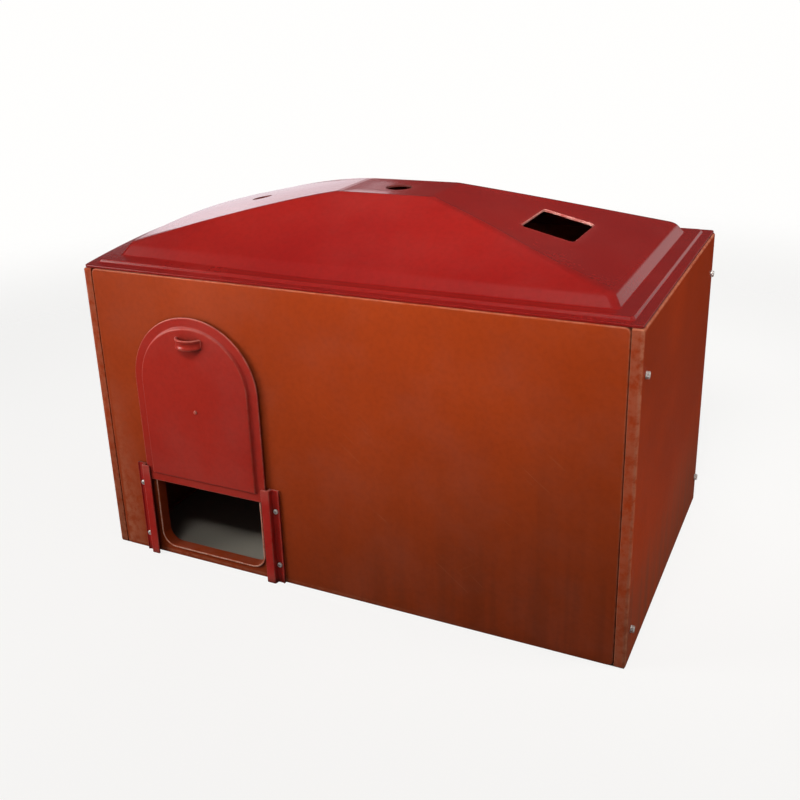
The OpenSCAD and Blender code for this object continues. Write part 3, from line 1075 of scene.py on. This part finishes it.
@dataclass
class Lid:
    """The loose hipped lid with its lamp hole, vent hole and window."""

    finishes: Finishes
    skin: float = 4 * MM
    rim_inset: float = 2.5 * MM
    step_inset: float = 19 * MM
    step_run: float = 3 * MM
    step_top: float = 9 * MM
    band_inset: float = 47 * MM
    band_run: float = 13 * MM
    band_top: float = 28 * MM
    band_shift: float = 2.1 * MM
    top_half: Point2 = (91 * MM, 67.5 * MM)
    top_shift: float = -8 * MM
    sag: float = 1 * MM
    crown: float = 1.6 * MM
    bow: float = 22 * MM
    bow_reach: float = 300 * MM
    bow_along: float = 0.8
    bow_across: float = 0.9
    raw: float = 1.3 * MM
    raw_small: float = 0.5 * MM
    lamp_radius: float = 24 * MM
    vent_radius: float = 19 * MM
    vent_off: float = 203 * MM
    window: Point2 = (92 * MM, 132 * MM)
    window_off: float = 204 * MM
    window_corner: float = 8 * MM
    along: int = 18
    crown_reach: Point2 = (0.44, 0.24)
    long_slope: float = 60 * MM
    slope_rings: int = 12
    punch_reach: float = 24 * MM

    @cached_property
    def half_size(self) -> Point2:
        """Half the length and width over the walls, from which the insets count."""
        low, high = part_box("lid")
        return (high.x - low.x) / 2 + self.rim_inset, (high.y - low.y) / 2 + self.rim_inset

    def section(self, rise: float) -> list[Knot]:
        """The lid's shell as half length, half width, corner radius, height and sideways shift.

        Args:
            rise: The lid's whole height.

        Returns:
            The path from the flat top, out over the slopes to the rim, and back inside.
        """
        half_l, half_w = self.half_size
        t = self.skin

        def ring(inset: float, radius: float, height: float) -> Knot:
            return (half_l - inset, half_w - inset, radius, height, 0.0)

        def top(inset: float, radius: float, height: float) -> Knot:
            half_u, half_v = self.top_half
            return (half_u - inset, half_v - 0.75 * inset, radius, height, self.top_shift)

        step_foot, step_head = self.step_inset, self.step_inset + self.step_run
        slope_foot = self.band_inset + self.band_run
        shift = self.band_shift
        path: list[tuple[Knot, float]] = [
            (top(40 * MM, 10 * MM, rise - self.sag), 0),
            (top(20 * MM, 10 * MM, rise - 0.6 * self.sag), 4 * MM),
            (top(0.0, 10 * MM, rise), 7 * MM),
            (ring(slope_foot, 14 * MM, self.band_top), 8 * MM),
            (ring(self.band_inset, 12 * MM, self.step_top), 2.0 * MM),
            (ring(step_head, 7 * MM, self.step_top), 1.4 * MM),
            (ring(step_foot, 7 * MM, t), 1.4 * MM),
            (ring(self.rim_inset, 5 * MM, t), 1.3 * MM),
            (ring(self.rim_inset, 5 * MM, 0.0), 0.7 * MM),
            (ring(step_foot + t, 5 * MM, 0.0), 1.5 * MM),
            (ring(step_head + t, 6 * MM, self.step_top - t), 1.5 * MM),
            (ring(self.band_inset + shift, 11 * MM, self.step_top - t), 2.0 * MM),
            (ring(slope_foot + shift, 13 * MM, self.band_top - t), 8 * MM),
            (top(0.5 * MM, 10 * MM, rise - t), 7 * MM),
            (top(40 * MM, 10 * MM, rise - t - self.sag), 0),
        ]
        return self.with_slope_rings(filleted([k for k, _ in path], [s for _, s in path], steps=6))

    def with_slope_rings(self, path: list[Knot]) -> list[Knot]:
        """Divides the long slopes so that they can be bowed."""
        made: list[Knot] = [path[0]]
        for a, b in zip(path, path[1:]):
            if math.dist(a, b) > self.long_slope:
                made += [lerp(a, b, i / self.slope_rings) for i in range(1, self.slope_rings)]
            made.append(b)
        return made

    def lifted(self, x: float, y: float) -> float:
        """How far the warped left side stands above its true height.

        Args:
            x: A point's place from the lid's middle.
            y: The same, across.

        Returns:
            The lift, nothing at the corners and from the flat top on to the right.
        """
        half_w = self.half_size[1]
        away = (self.top_shift - self.top_half[0] - x) / self.bow_reach
        if away <= 0:
            return 0.0
        across = math.sin(math.pi * min(max(0.5 + y / (2 * half_w), 0.0), 1.0))
        return self.bow * min(away, 1.0) ** self.bow_along * across ** self.bow_across

    def crowned(self, x: float, y: float, height: float, rise: float) -> float:
        """The height of a point once the slopes are crowned and the left side is warped.

        Args:
            x: The point's place from the lid's middle.
            y: The same, across.
            height: Its height before that.
            rise: The lid's whole height.

        Returns:
            Its height in the finished lid.
        """
        height_now = height + self.lifted(x, y)
        low = self.band_top - self.skin
        share = (height - low) / (rise - low)
        reach_x, reach_y = self.crown_reach
        if not 0 < share < 1 or abs(x) / reach_x > abs(y) / reach_y:
            return height_now
        across = max(1 - (x / reach_x) ** 2, 0.0)
        return height_now + self.crown * math.sin(math.pi * share) ** 0.8 * across

    def slope_frame(self, side: int, off: float) -> Matrix:
        """The place on an end slope at a level distance from the flat top, with z square to it."""
        low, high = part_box("lid")
        middle = (low + high) / 2
        run = self.half_size[0] - self.band_inset - self.band_run - self.top_half[0] - side * self.top_shift
        fall = (high.z - low.z - self.band_top) / run
        x = self.top_shift + side * (self.top_half[0] + off)
        near, far = self.lifted(x - MM, 0.0), self.lifted(x + MM, 0.0)
        fall -= side * (far - near) / (2 * MM)
        height = high.z - off * (high.z - low.z - self.band_top) / run + self.lifted(x, 0.0)
        spot = Vector((middle.x + x, middle.y, height))
        return Matrix.Translation(spot) @ Matrix.Rotation(side * math.atan(fall), 4, "Y")

    def punch(
        self, draft: Draft, outline: Callable[[float], Sequence[Point2]], place: Matrix, raw: float
    ) -> None:
        """Adds a punch through the lid's skin that leaves a narrow bevel at the surface.

        Args:
            draft: The mesh that holds all the punches.
            outline: Gives the punch's outline grown by a length.
            place: Where it stands, with z along the cut.
            raw: Width of the bevel.
        """
        steps = ((-self.punch_reach, 0.0), (-raw, 0.0), (0.3 * MM, raw), (self.punch_reach, raw))
        draft.tube([place @ Vector((u, v, z)) for u, v in outline(grow)] for z, grow in steps)

    def build(self) -> None:
        """Builds the lid and cuts its three openings."""
        low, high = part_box("lid")
        middle, rise = (low + high) / 2, high.z - low.z
        draft = Draft()
        loops = []
        for half_l, half_w, radius, height, shift in self.section(rise):
            loop = []
            for u, v in round_rect(half_l, half_w, radius, steps=8, along=self.along):
                up = self.crowned(u + shift, v, height, rise)
                loop.append(Vector((middle.x + u + shift, middle.y + v, low.z + up)))
            loops.append(loop)
        made = draft.loft(loops)
        draft.cap(made[0])
        draft.cap(made[-1])
        lid = draft.piece("lid_moulding")
        dress(lid, self.finishes.lid)
        top = Matrix.Translation((middle.x + self.top_shift, middle.y, high.z - self.sag))

        def window(grow: float) -> list[Point2]:
            half_u, half_v = self.window[0] / 2, self.window[1] / 2
            return round_rect(half_u + grow, half_v + grow, self.window_corner + grow)

        punches = Draft()
        for radius, place in (
            (self.lamp_radius, top),
            (self.vent_radius, self.slope_frame(-1, self.vent_off)),
        ):
            self.punch(punches, lambda grow, r=radius: circle(r + grow, 48), place, self.raw_small)
        self.punch(punches, window, self.slope_frame(1, self.window_off), self.raw)
        cutter = punches.blade("lid_punches", self.finishes.cut, self.finishes.dull_cut)
        for face in cutter.data.polygons:
            face.material_index = 0 if face.center.x > middle.x + self.top_half[0] else 1
        cut(lid, cutter, "MANIFOLD")
        settle(lid, Body.LID, Slot.LID, "lid")


# ---------------------------------------------------------------------------
# Door, pull and rails
# ---------------------------------------------------------------------------


@dataclass
class Door:
    """The arched door with its pull."""

    finishes: Finishes
    wall: float = 3.2 * MM
    border: float = 16.5 * MM
    draft_run: float = 2.5 * MM
    lower_corner: float = 5 * MM
    raise_height: float = 5 * MM
    pip_radius: float = 3 * MM
    pip_height: float = 2.5 * MM
    bar: float = 5 * MM
    hollow: float = 1.6 * MM
    foot_from: float = 0.72
    foot_share: float = 0.28
    pull_steps: int = 30
    flat_edge: float = 6 * MM
    least_corner: float = 1.5 * MM
    pip_drop: float = 8 * MM

    def panel(self) -> Solid:
        """The door itself, hollow behind its raised middle.

        Returns:
            The door.
        """
        low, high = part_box("door")
        middle_x, half = (low.x + high.x) / 2, (high.x - low.x) / 2
        spring, back = high.z - half, high.y
        face = self.wall + self.raise_height
        b, t, d = self.border, self.wall, self.draft_run
        knots = [
            (b + t + d + self.flat_edge, face - t), (b + t + d, face - t), (b + t, 0.0), (0.0, 0.0), (0.0, t),
            (b, t), (b + d, face), (b + d + self.flat_edge, face),
        ]
        sizes = [0, 2.5 * MM, 1.2 * MM, 0.9 * MM, 2.5 * MM, 1.6 * MM, 2.0 * MM, 0]
        draft = Draft()
        loops = draft.loft(
            [
                Vector((middle_x + u, back - out, v))
                for u, v in arch(
                    half - inset, low.z + inset, spring, max(self.lower_corner - inset, self.least_corner)
                )
            ]
            for inset, out in filleted(knots, sizes, steps=6)
        )
        draft.cap(loops[0])
        draft.cap(loops[-1])
        pip_z = (low.z + high.z) / 2 - self.pip_drop
        pip = ((1.35, -0.3), (1.1, 0.1), (1.0, 0.5), (0.9, 0.8), (0.6, 0.97), (0.25, 1.0))
        draft.tube(
            [
                Vector((middle_x + x, back - face - self.pip_height * out, pip_z + z))
                for x, z in circle(self.pip_radius * r, 16)
            ]
            for r, out in pip
        )
        door = draft.piece("door_moulding")
        dress(door, self.finishes.door)
        return door

    def pull(self) -> Solid:
        """The bow pull: a bar bent to an arc, hollowed along its outside, with spread feet.

        Returns:
            The pull.
        """
        low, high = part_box("door_pull")
        middle = (low + high) / 2
        half, reach, half_h = (high.x - low.x) / 2, high.y - low.y, (high.z - low.z) / 2
        radius = (half * half + reach * reach) / (2 * reach)
        centre = high.y - reach + radius
        sweep = math.asin(half / radius)
        steps = self.pull_steps
        loops = []
        for i in range(-steps, steps + 1):
            angle = sweep * i / steps
            foot = max(0.0, (abs(i) / steps - self.foot_from) / self.foot_share) ** 2
            tall = half_h * (1 - 0.06 * foot)
            inner, outer = radius - self.bar - 1.5 * MM * foot, radius
            groove = self.hollow * (1 - foot)
            loops.append([
                Vector((middle.x + r * math.sin(angle), centre - r * math.cos(angle), middle.z + z))
                for r, z in self.bar_section(inner, outer, tall, groove)
            ])
        draft = Draft()
        draft.tube(loops)
        pull = draft.piece("door_pull_bow", 50)
        slab = Draft()
        slab.tube(
            [Vector((middle.x + u, y, middle.z + v)) for u, v in round_rect(half * 2, half_h * 3, 1 * MM)]
            for y in (high.y + 1 * MM, high.y + 30 * MM)
        )
        dress(pull, self.finishes.door)
        cut(pull, slab.blade("pull_trim", self.finishes.door))
        return pull

    @staticmethod
    def bar_section(inner: float, outer: float, tall: float, groove: float) -> list[Point2]:
        """The bar's cross-section as radius and height.

        Args:
            inner: Radius of its inner face.
            outer: Radius of its outer face.
            tall: Half its height.
            groove: Depth of the hollow along the outer face.

        Returns:
            The closed outline.
        """
        knots = [
            (inner, 0.0), (inner, tall), (outer, tall), (outer, tall * 0.62),
            (outer - groove, tall * 0.25), (outer - groove, 0.0),
        ]
        upper = filleted(knots, [0, 1.6 * MM, 1.9 * MM, 1.5 * MM, 2.5 * MM, 0], steps=5)
        lower = [(r, -z) for r, z in reversed(upper[1:-1])]
        return upper + lower

    def build(self) -> None:
        """Builds the door and its pull."""
        settle(self.panel(), Body.DOOR, Slot.DOOR, "door")
        settle(self.pull(), Body.DOOR, Slot.DOOR, "door_pull")


@dataclass
class Rails:
    """The two rails beside the doorway."""

    finishes: Finishes
    lip_over: float = 8 * MM
    side_play: float = 3.5 * MM
    web: float = 5.5 * MM
    slope: float = 2 * MM
    plate: float = 3 * MM
    ridge: float = 1.5 * MM
    ridge_width: float = 3 * MM
    end_chamfer: float = 1.2 * MM

    def profile(self, half_door: float, out: float, rise: float) -> list[Point2]:
        """A rail's cross-section, outward from the door's middle and forward from the wall.

        Args:
            half_door: Half the door's width.
            out: Where the flange ends.
            rise: How far the lip stands out from the wall.

        Returns:
            The closed outline with rounded corners.
        """
        web = half_door + self.side_play
        lip = half_door - self.lip_over
        face = web + self.web
        foot = face + self.slope
        ridge = self.plate + self.ridge
        knots = [
            (web + 4 * MM, 0.0), (out, 0.0), (out, ridge), (out - self.ridge_width / 2, ridge),
            (out - self.ridge_width, self.plate), (foot, self.plate), (face, rise), (lip, rise),
            (lip, rise - self.plate), (web, rise - self.plate), (web, 0.0), (web + 3.9 * MM, 0.0),
        ]
        curves = (0, 0.7, 0.8, 0.8, 1.0, 1.6, 2.2, 1.3, 1.1, 1.5, 0.7, 0)
        return filleted(knots, [size * MM for size in curves])

    def rail(self, name: str, side: int) -> Solid:
        """Builds one rail.

        Args:
            name: The CAD node it stands for.
            side: -1 for the left rail, +1 for the right.

        Returns:
            The rail.
        """
        low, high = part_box(name)
        door_low, door_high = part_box("door")
        middle_x, half_door = (door_low.x + door_high.x) / 2, (door_high.x - door_low.x) / 2
        out = max(abs(low.x - middle_x), abs(high.x - middle_x))
        outline = self.profile(half_door, out, high.y - low.y)
        wide = sum(u for u, _ in outline) / len(outline)
        deep = sum(v for _, v in outline) / len(outline)
        c, span = self.end_chamfer, high.z - low.z
        draft = Draft()
        heights = [(0.0, 0.94), (c * 0.5, 0.985), (c, 1.0)]
        heights += [(span * i / 8, 1.0) for i in range(1, 8)]
        heights += [(span - c, 1.0), (span - c * 0.5, 0.985), (span, 0.94)]
        draft.tube(
            [
                Vector((
                    middle_x + side * (wide + (u - wide) * grow),
                    high.y - (deep + (v - deep) * grow),
                    low.z + z,
                ))
                for u, v in outline
            ]
            for z, grow in heights
        )
        rail = draft.piece(name + "_moulding", 40)
        dress(rail, self.finishes.rail)
        return rail

    def build(self) -> None:
        """Builds both rails."""
        for name, side in (("left_rail", -1), ("right_rail", 1)):
            settle(self.rail(name, side), Body.SHELL, Slot.RAIL, name)


# ---------------------------------------------------------------------------
# Fasteners
# ---------------------------------------------------------------------------


@dataclass
class Fasteners:
    """Corner bolts, rail screws, and their washers and nuts."""

    finishes: Finishes
    bolt: float = 6 * MM
    screw: float = 5 * MM
    hexagon: float = 10 * MM
    screw_head: Point2 = (9.5 * MM, 3.2 * MM)
    bolt_pitch: float = 1.0 * MM
    screw_pitch: float = 0.8 * MM
    thread_depth: float = 0.11
    plain_shank: float = 8 * MM
    washer_play: float = 0.3 * MM
    washer_share: float = 0.267

    @staticmethod
    def centres(node: str) -> list[Point2]:
        """The two bolt axes of a corner as y and z."""
        low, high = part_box(node)
        half = (high.y - low.y) / math.sqrt(3)
        y = (low.y + high.y) / 2
        return [(y, low.z + half), (y, high.z - half)]

    @staticmethod
    def hexagonal(angle: float, across: float) -> float:
        """Distance from the axis to a hexagon's side at an angle."""
        sector = math.pi / 3
        return across / 2 / math.cos((angle % sector) - sector / 2)

    def spun(self, draft: Draft, rings: Sequence[Ring], place: Matrix, steps: int = 36) -> None:
        """A solid of loops round an axis.

        Args:
            draft: The mesh to add to.
            rings: Height and radius-by-angle of each loop.
            place: Where the solid stands, with z along its axis.
            steps: Points in each loop.
        """
        loops = []
        for z, radius in rings:
            loop = []
            for i in range(steps):
                a = 2 * math.pi * i / steps
                loop.append(place @ Vector((radius(a) * math.cos(a), radius(a) * math.sin(a), z)))
            loops.append(loop)
        draft.tube(loops)

    def washer(self, draft: Draft, outer: float, inner: float, z: float, thick: float, place: Matrix) -> None:
        """A flat ring with rounded edges."""
        e = thick * 0.22
        section = (
            (inner, z + e), (inner, z + thick - e), (inner + e, z + thick), (outer - e, z + thick),
            (outer, z + thick - e), (outer, z + e), (outer - e, z), (inner + e, z),
        )
        steps = 40
        loops = []
        for i in range(steps):
            a = 2 * math.pi * i / steps
            points = [Vector((r * math.cos(a), r * math.sin(a), h)) for r, h in section]
            loops.append(draft.loop(place @ point for point in points))
        for i in range(steps):
            draft.bridge(loops[i], loops[(i + 1) % steps])

    def hexagon_rings(self, z: float, tall: float, across: float, both: bool) -> list[Ring]:
        """The loops of a hexagon with turned-down corners.

        Args:
            z: Its lower face.
            tall: Its height.
            across: Its width across flats.
            both: Whether the lower corners are turned down too.

        Returns:
            Heights and radii for spun().
        """
        turned = across * 0.5 * 0.97

        def full(a: float) -> float:
            return self.hexagonal(a, across)

        def partly(a: float) -> float:
            return min(self.hexagonal(a, across), across * 0.5 * 1.10)

        def face(a: float) -> float:
            return min(self.hexagonal(a, across), turned)

        top = [(z + tall * 0.82, full), (z + tall * 0.93, partly), (z + tall, face)]
        if both:
            return [(z, face), (z + tall * 0.07, partly), (z + tall * 0.18, full)] + top
        return [(z, face), (z + tall * 0.03, full)] + top

    def thread(self, draft: Draft, radius: float, pitch: float, z0: float, z1: float, place: Matrix) -> None:
        """A threaded shank whose crest climbs one pitch a turn.

        Args:
            draft: The mesh to add to.
            radius: Outer radius.
            pitch: Rise of one turn.
            z0: Free end.
            z1: Upper end.
            place: Where it stands, with z along its axis.
        """
        steps, per_turn = 24, 6
        count = int(round((z1 - z0) / pitch * per_turn))
        rings = []
        for k in range(count + 1):
            z = z0 + (z1 - z0) * k / count
            taper = min(1.0, 0.72 + 0.28 * (z - z0) / pitch)

            def radial(a: float, z: float = z, taper: float = taper) -> float:
                phase = (z / pitch - a / (2 * math.pi)) % 1.0
                tooth = abs(2 * phase - 1)
                return (radius - self.thread_depth * radius * tooth) * taper

            rings.append((z, radial))
        self.spun(draft, rings, place, steps)

    def bolts(self, corner: str) -> None:
        """One corner's bolts, washers and nuts."""
        side = 1 if corner.endswith("right") else -1
        washer_low, washer_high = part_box(f"{corner}_washers")
        nut_low, nut_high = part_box(f"{corner}_nuts")
        bolt_low, bolt_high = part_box(f"{corner}_bolts")
        outer = washer_high.x if side > 0 else -washer_low.x
        inner_washer = washer_low.x if side > 0 else -washer_high.x
        head_top = bolt_high.x if side > 0 else -bolt_low.x
        shank_end = bolt_low.x if side > 0 else -bolt_high.x
        nut_a, nut_b = sorted((side * nut_low.x, side * nut_high.x))
        thick = self.washer_share * self.bolt
        hole = self.bolt / 2 + self.washer_play
        plain_end = outer - self.plain_shank
        spin = random.Random(corner)
        drafts = {"bolts": Draft(), "washers": Draft(), "nuts": Draft()}
        for y, z in self.centres(f"{corner}_bolts"):
            outward = Matrix.Rotation(math.radians(90 * side), 4, "Y")
            turn = outward @ Matrix.Rotation(math.radians(30), 4, "Z")
            place = Matrix.Translation((0, y, z)) @ turn
            loose = place @ Matrix.Rotation(spin.uniform(-0.02, 0.02), 4, "Z")
            head = self.hexagon_rings(outer, head_top - outer, self.hexagon, False)
            self.spun(drafts["bolts"], head, loose)
            shank = [(h, lambda a: self.bolt / 2 * 0.995) for h in (plain_end, outer)]
            self.spun(drafts["bolts"], shank, place, 24)
            self.thread(drafts["bolts"], self.bolt / 2, self.bolt_pitch, shank_end, plain_end, place)
            for under in (outer - thick, inner_washer):
                self.washer(drafts["washers"], self.bolt, hole, under, thick, place)
            self.spun(drafts["nuts"], self.hexagon_rings(nut_a, nut_b - nut_a, self.hexagon, True), place)
        for kind, draft in drafts.items():
            node = f"{corner}_{kind}"
            piece = draft.piece(node + "_zinc", 35)
            dress(piece, self.finishes.zinc)
            settle(piece, Body.SHELL, Slot.ZINC, node)

    def screws(self, side_name: str) -> None:
        """One rail's pan-head screws; their washers and nuts stay as the CAD has them."""
        low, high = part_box(f"{side_name}_rail_screws")
        head_r, head_h = self.screw_head[0] / 2, self.screw_head[1]
        x = (low.x + high.x) / 2
        face = low.y + head_h
        draft, cutters = Draft(), Draft()
        dome = (
            (0.0, 0.97), (0.03, 1.0), (0.42, 1.0), (0.62, 0.965),
            (0.80, 0.87), (0.92, 0.72), (0.98, 0.5), (1.0, 0.25),
        )
        for row, z in enumerate((low.z + head_r, high.z - head_r)):
            place = Matrix.Translation((x, face, z)) @ Matrix.Rotation(math.radians(90), 4, "X")
            self.spun(draft, [(head_h * h, lambda a, r=r: head_r * r) for h, r in dome], place)
            self.thread(draft, self.screw / 2, self.screw_pitch, -(high.y - face), -0.2 * MM, place)
            turn = Matrix.Rotation(math.radians(22 + 37 * row), 4, "Z")
            outline = self.cross(0.27 * self.screw_head[0], 0.055 * self.screw_head[0])
            cutters.tube(
                [place @ turn @ Vector((u * s, v * s, h)) for u, v in outline]
                for h, s in ((head_h * 0.25, 0.55), (head_h * 1.2, 1.12))
            )
        screws = draft.piece(f"{side_name}_rail_screws_zinc", 35)
        dress(screws, self.finishes.zinc)
        cut(screws, cutters.blade(f"{side_name}_recess", self.finishes.zinc))
        settle(screws, Body.SHELL, Slot.ZINC, f"{side_name}_rail_screws")

    @staticmethod
    def cross(reach: float, half: float) -> list[Point2]:
        """The outline of a cross recess."""
        arm = [(reach, -half), (reach, half), (half, half)]
        points = []
        for k in range(4):
            c, s = round(math.cos(k * math.pi / 2)), round(math.sin(k * math.pi / 2))
            points += [(u * c - v * s, u * s + v * c) for u, v in arm]
        return points

    def small_cad_pieces(self, nodes: dict[str, Solid]) -> None:
        """Dresses the rail washers and nuts that stay as the CAD has them.

        Args:
            nodes: The frame's CAD objects.
        """
        for side in ("left", "right"):
            for kind in ("washers", "nuts"):
                node = nodes[f"{side}_rail_{kind}"]
                dress(node, self.finishes.zinc)
                bevel = node.modifiers.new("soft_edges", "BEVEL")
                bevel.width, bevel.segments, bevel.limit_method = 0.25 * MM, 2, "ANGLE"
                LOG.info("%s: keeps its CAD shape", node.name)

    def build(self, nodes: dict[str, Solid]) -> None:
        """Builds every fastener.

        Args:
            nodes: The frame's CAD objects.
        """
        for corner in ("front_left", "front_right", "rear_left", "rear_right"):
            self.bolts(corner)
        for side in ("left", "right"):
            self.screws(side)
        self.small_cad_pieces(nodes)


# ---------------------------------------------------------------------------
# Studio
# ---------------------------------------------------------------------------


@dataclass
class Studio:
    """Camera, floor and lights."""

    front_face: float
    left_end: float
    eye: Point3 = (1.259, -1.313, 1.0134)
    azimuth: float = 27.4
    elevation: float = 20.11
    film: float = 36.0
    roll: float = -2.31
    lens: float = 44.9
    shift: Point2 = (0.0353, -0.059)
    ambient: float = 0.12
    mirrored: float = 0.05
    backdrop: float = 1.0
    bounce: Colour = (0.22, 0.215, 0.21, 1.0)
    floor_half: float = 14.0
    fade: Point2 = (1.2, 3.2)
    evenness: float = 0.84
    # Painted shade: the floor's colour under the box.
    shade_indoors: Colour = (0.30, 0.28, 0.24, 1.0)
    under_walls: float = 2 * MM

    def camera(self) -> None:
        """Sets the camera up from the box's lower front left corner."""
        data = bpy.data.cameras.new("camera")
        data.lens, data.sensor_width = self.lens, self.film
        data.shift_x, data.shift_y = self.shift
        data.clip_start, data.clip_end = 0.05, 60.0
        made = bpy.data.objects.new("camera", data)
        bpy.context.scene.collection.objects.link(made)
        a, e = math.radians(self.azimuth), math.radians(self.elevation)
        ahead = Vector((-math.sin(a) * math.cos(e), math.cos(a) * math.cos(e), -math.sin(e)))
        turn = ahead.to_track_quat("-Z", "Y") @ Quaternion((0, 0, 1), math.radians(self.roll))
        made.rotation_mode = "QUATERNION"
        made.rotation_quaternion = turn
        made.location = Vector(self.eye) + Vector((self.left_end, self.front_face, 0))
        bpy.context.scene.camera = made

    @staticmethod
    def area(
        name: str,
        spot: Point3,
        aim: Point3,
        size: Point2,
        power: float,
        tint: Point2 = (1.0, 1.0),
        spread: float = 180.0,
        mirrored: bool = True,
    ) -> None:
        """A soft area light.

        Args:
            name: Its name.
            spot: Where it hangs.
            aim: What it faces.
            size: Its width and height.
            power: Watts.
            tint: Green and blue against red.
            spread: Angle of its beam in degrees.
            mirrored: Whether glossy surfaces show it.
        """
        data = bpy.data.lights.new(name, "AREA")
        data.shape, data.size, data.size_y = "RECTANGLE", size[0], size[1]
        data.energy, data.color, data.spread = power, (1.0, tint[0], tint[1]), math.radians(spread)
        made = bpy.data.objects.new(name, data)
        bpy.context.scene.collection.objects.link(made)
        made.location = spot
        made.visible_camera, made.visible_glossy = False, mirrored
        made.rotation_mode = "QUATERNION"
        made.rotation_quaternion = (Vector(aim) - Vector(spot)).to_track_quat("-Z", "Y")

    def floor(self) -> None:
        """A plain pale floor that fades into the surround far from the object, with painted shade between the
        walls.
        """
        draft = Draft()
        draft.tube(
            [Vector((u, v, z)) for u, v in round_rect(self.floor_half, self.floor_half, 0.5)]
            for z in (-0.02, -0.0002)
        )
        floor = draft.piece("floor")
        material, w, place = blank_material("pale_floor")
        cloudy = w.ramp(w.noise(place, 2.0, 3.0, 0.5), 0.3, 0.7)
        pale = w.mix(cloudy, (0.84, 0.84, 0.83, 1.0), (0.88, 0.88, 0.875, 1.0))
        seen = w.add("ShaderNodeLightPath").outputs["Is Camera Ray"]
        roofed = self.under_roof(w, place)
        # Painted shade: between the walls the floor takes a darker grey and no glow.
        pale = w.mix(roofed, pale, self.shade_indoors)
        colour = w.mix(seen, self.bounce, pale)
        paint = w.add("ShaderNodeBsdfDiffuse", Color=colour)
        clear = w.add("ShaderNodeBsdfTransparent")
        away = w.add("ShaderNodeVectorMath", {"operation": "LENGTH"})
        w.put(away.inputs[0], place)
        glow = w.add("ShaderNodeEmission", Color=WHITE, Strength=self.backdrop)
        lit = w.maths("MULTIPLY", seen, w.maths("SUBTRACT", 1.0, roofed))
        even = w.add("ShaderNodeMixShader", Fac=w.maths("MULTIPLY", lit, self.evenness))
        w.put(even.inputs[1], paint.outputs[0])
        w.put(even.inputs[2], glow.outputs[0])
        share = w.ramp(away.outputs["Value"], self.fade[0], self.fade[1])
        mixed = w.add("ShaderNodeMixShader", Fac=share)
        w.put(mixed.inputs[1], even.outputs[0])
        w.put(mixed.inputs[2], clear.outputs[0])
        w.add("ShaderNodeOutputMaterial", Surface=mixed.outputs[0])
        dress(floor, material)

    def under_roof(self, w: Wiring, place: Socket) -> Socket:
        """Mask of the floor between the four walls.

        Args:
            w: The floor material's wiring.
            place: The floor's own coordinates.

        Returns:
            One inside the walls and nothing outside them.
        """
        inset = self.under_walls
        left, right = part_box("left_end_panel")[0].x + inset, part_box("right_end_panel")[1].x - inset
        near, far = self.front_face + inset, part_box("rear_panel")[1].y - inset
        axes = w.add("ShaderNodeSeparateXYZ", Vector=place).outputs
        inside: object = 1.0
        for axis, low, high in (("X", left, right), ("Y", near, far)):
            off = w.maths("ABSOLUTE", w.maths("SUBTRACT", axes[axis], (low + high) / 2))
            inside = w.maths("MULTIPLY", inside, w.maths("LESS_THAN", off, (high - low) / 2))
        return inside

    def world(self) -> None:
        """A pale surround behind the object, dimmer where it only lights it."""
        world = bpy.data.worlds.new("surround")
        world.use_nodes = True
        w = Wiring(world.node_tree)
        background = world.node_tree.nodes["Background"]
        path = w.add("ShaderNodeLightPath").outputs
        background.inputs["Color"].default_value = WHITE
        unseen = w.ramp(path["Is Glossy Ray"], 0.0, 1.0, self.ambient, self.mirrored)
        w.put(background.inputs["Strength"], w.ramp(path["Is Camera Ray"], 0.0, 1.0, unseen, self.backdrop))
        bpy.context.scene.world = world

    def build(self) -> None:
        """Sets up the whole studio."""
        self.camera()
        self.floor()
        self.world()
        self.area("key", (-2.4, -1.65, 1.15), (-0.3, -0.284, 0.42), (1.3, 1.3), 15.0, (0.97, 0.93), 90.0)
        self.area(
            "top_front", (0.25, -1.45, 2.0), (0.15, -0.1, 0.95), (1.3, 0.7), 7.5, (0.98, 0.95), 46.0, False
        )
        self.area("side", (2.3, 0.2, 1.3), (0.5, 0.0, 0.5), (1.0, 1.0), 8.5, (0.96, 0.9), 100.0)
        self.area("front_fill", (1.2, -0.7, 3.0), (0.1, 0.0, 0.3), (1.6, 1.6), 3.0, (1.0, 1.0), 120.0, False)
        self.area("window", (-2.1, 2.6, 0.70), (-0.15, 0.0, 0.65), (1.5, 1.15), 7.0, (0.95, 1.02))
        self.area("left_rim", (-2.6, 2.3, 1.25), (-0.48, 0.0, 0.57), (0.9, 0.5), 2.0, (0.95, 1.02))
        self.area("rear_right", (1.45, 3.0, 0.85), (0.45, 0.1, 0.58), (0.8, 0.7), 1.1)
        bpy.context.scene.view_settings.view_transform = "Standard"


def main() -> None:
    """Builds the box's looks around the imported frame."""
    logging.basicConfig(level=logging.INFO, format="%(name)s %(message)s")
    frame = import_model()
    front_low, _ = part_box("front_panel")
    left_low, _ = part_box("left_end_panel")
    Studio(front_face=front_low.y + Walls.bead, left_end=left_low.x).build()
    finishes = Finishes()
    door_lift = -min(joint["range_m"][0] for joint in frame["joints"] if joint["name"] == "door_slide")
    Walls(finishes, door_lift).build()
    Lid(finishes).build()
    Door(finishes).build()
    Rails(finishes).build()
    Fasteners(finishes).build(frame["nodes"])


if __name__ == "__main__":
    main()
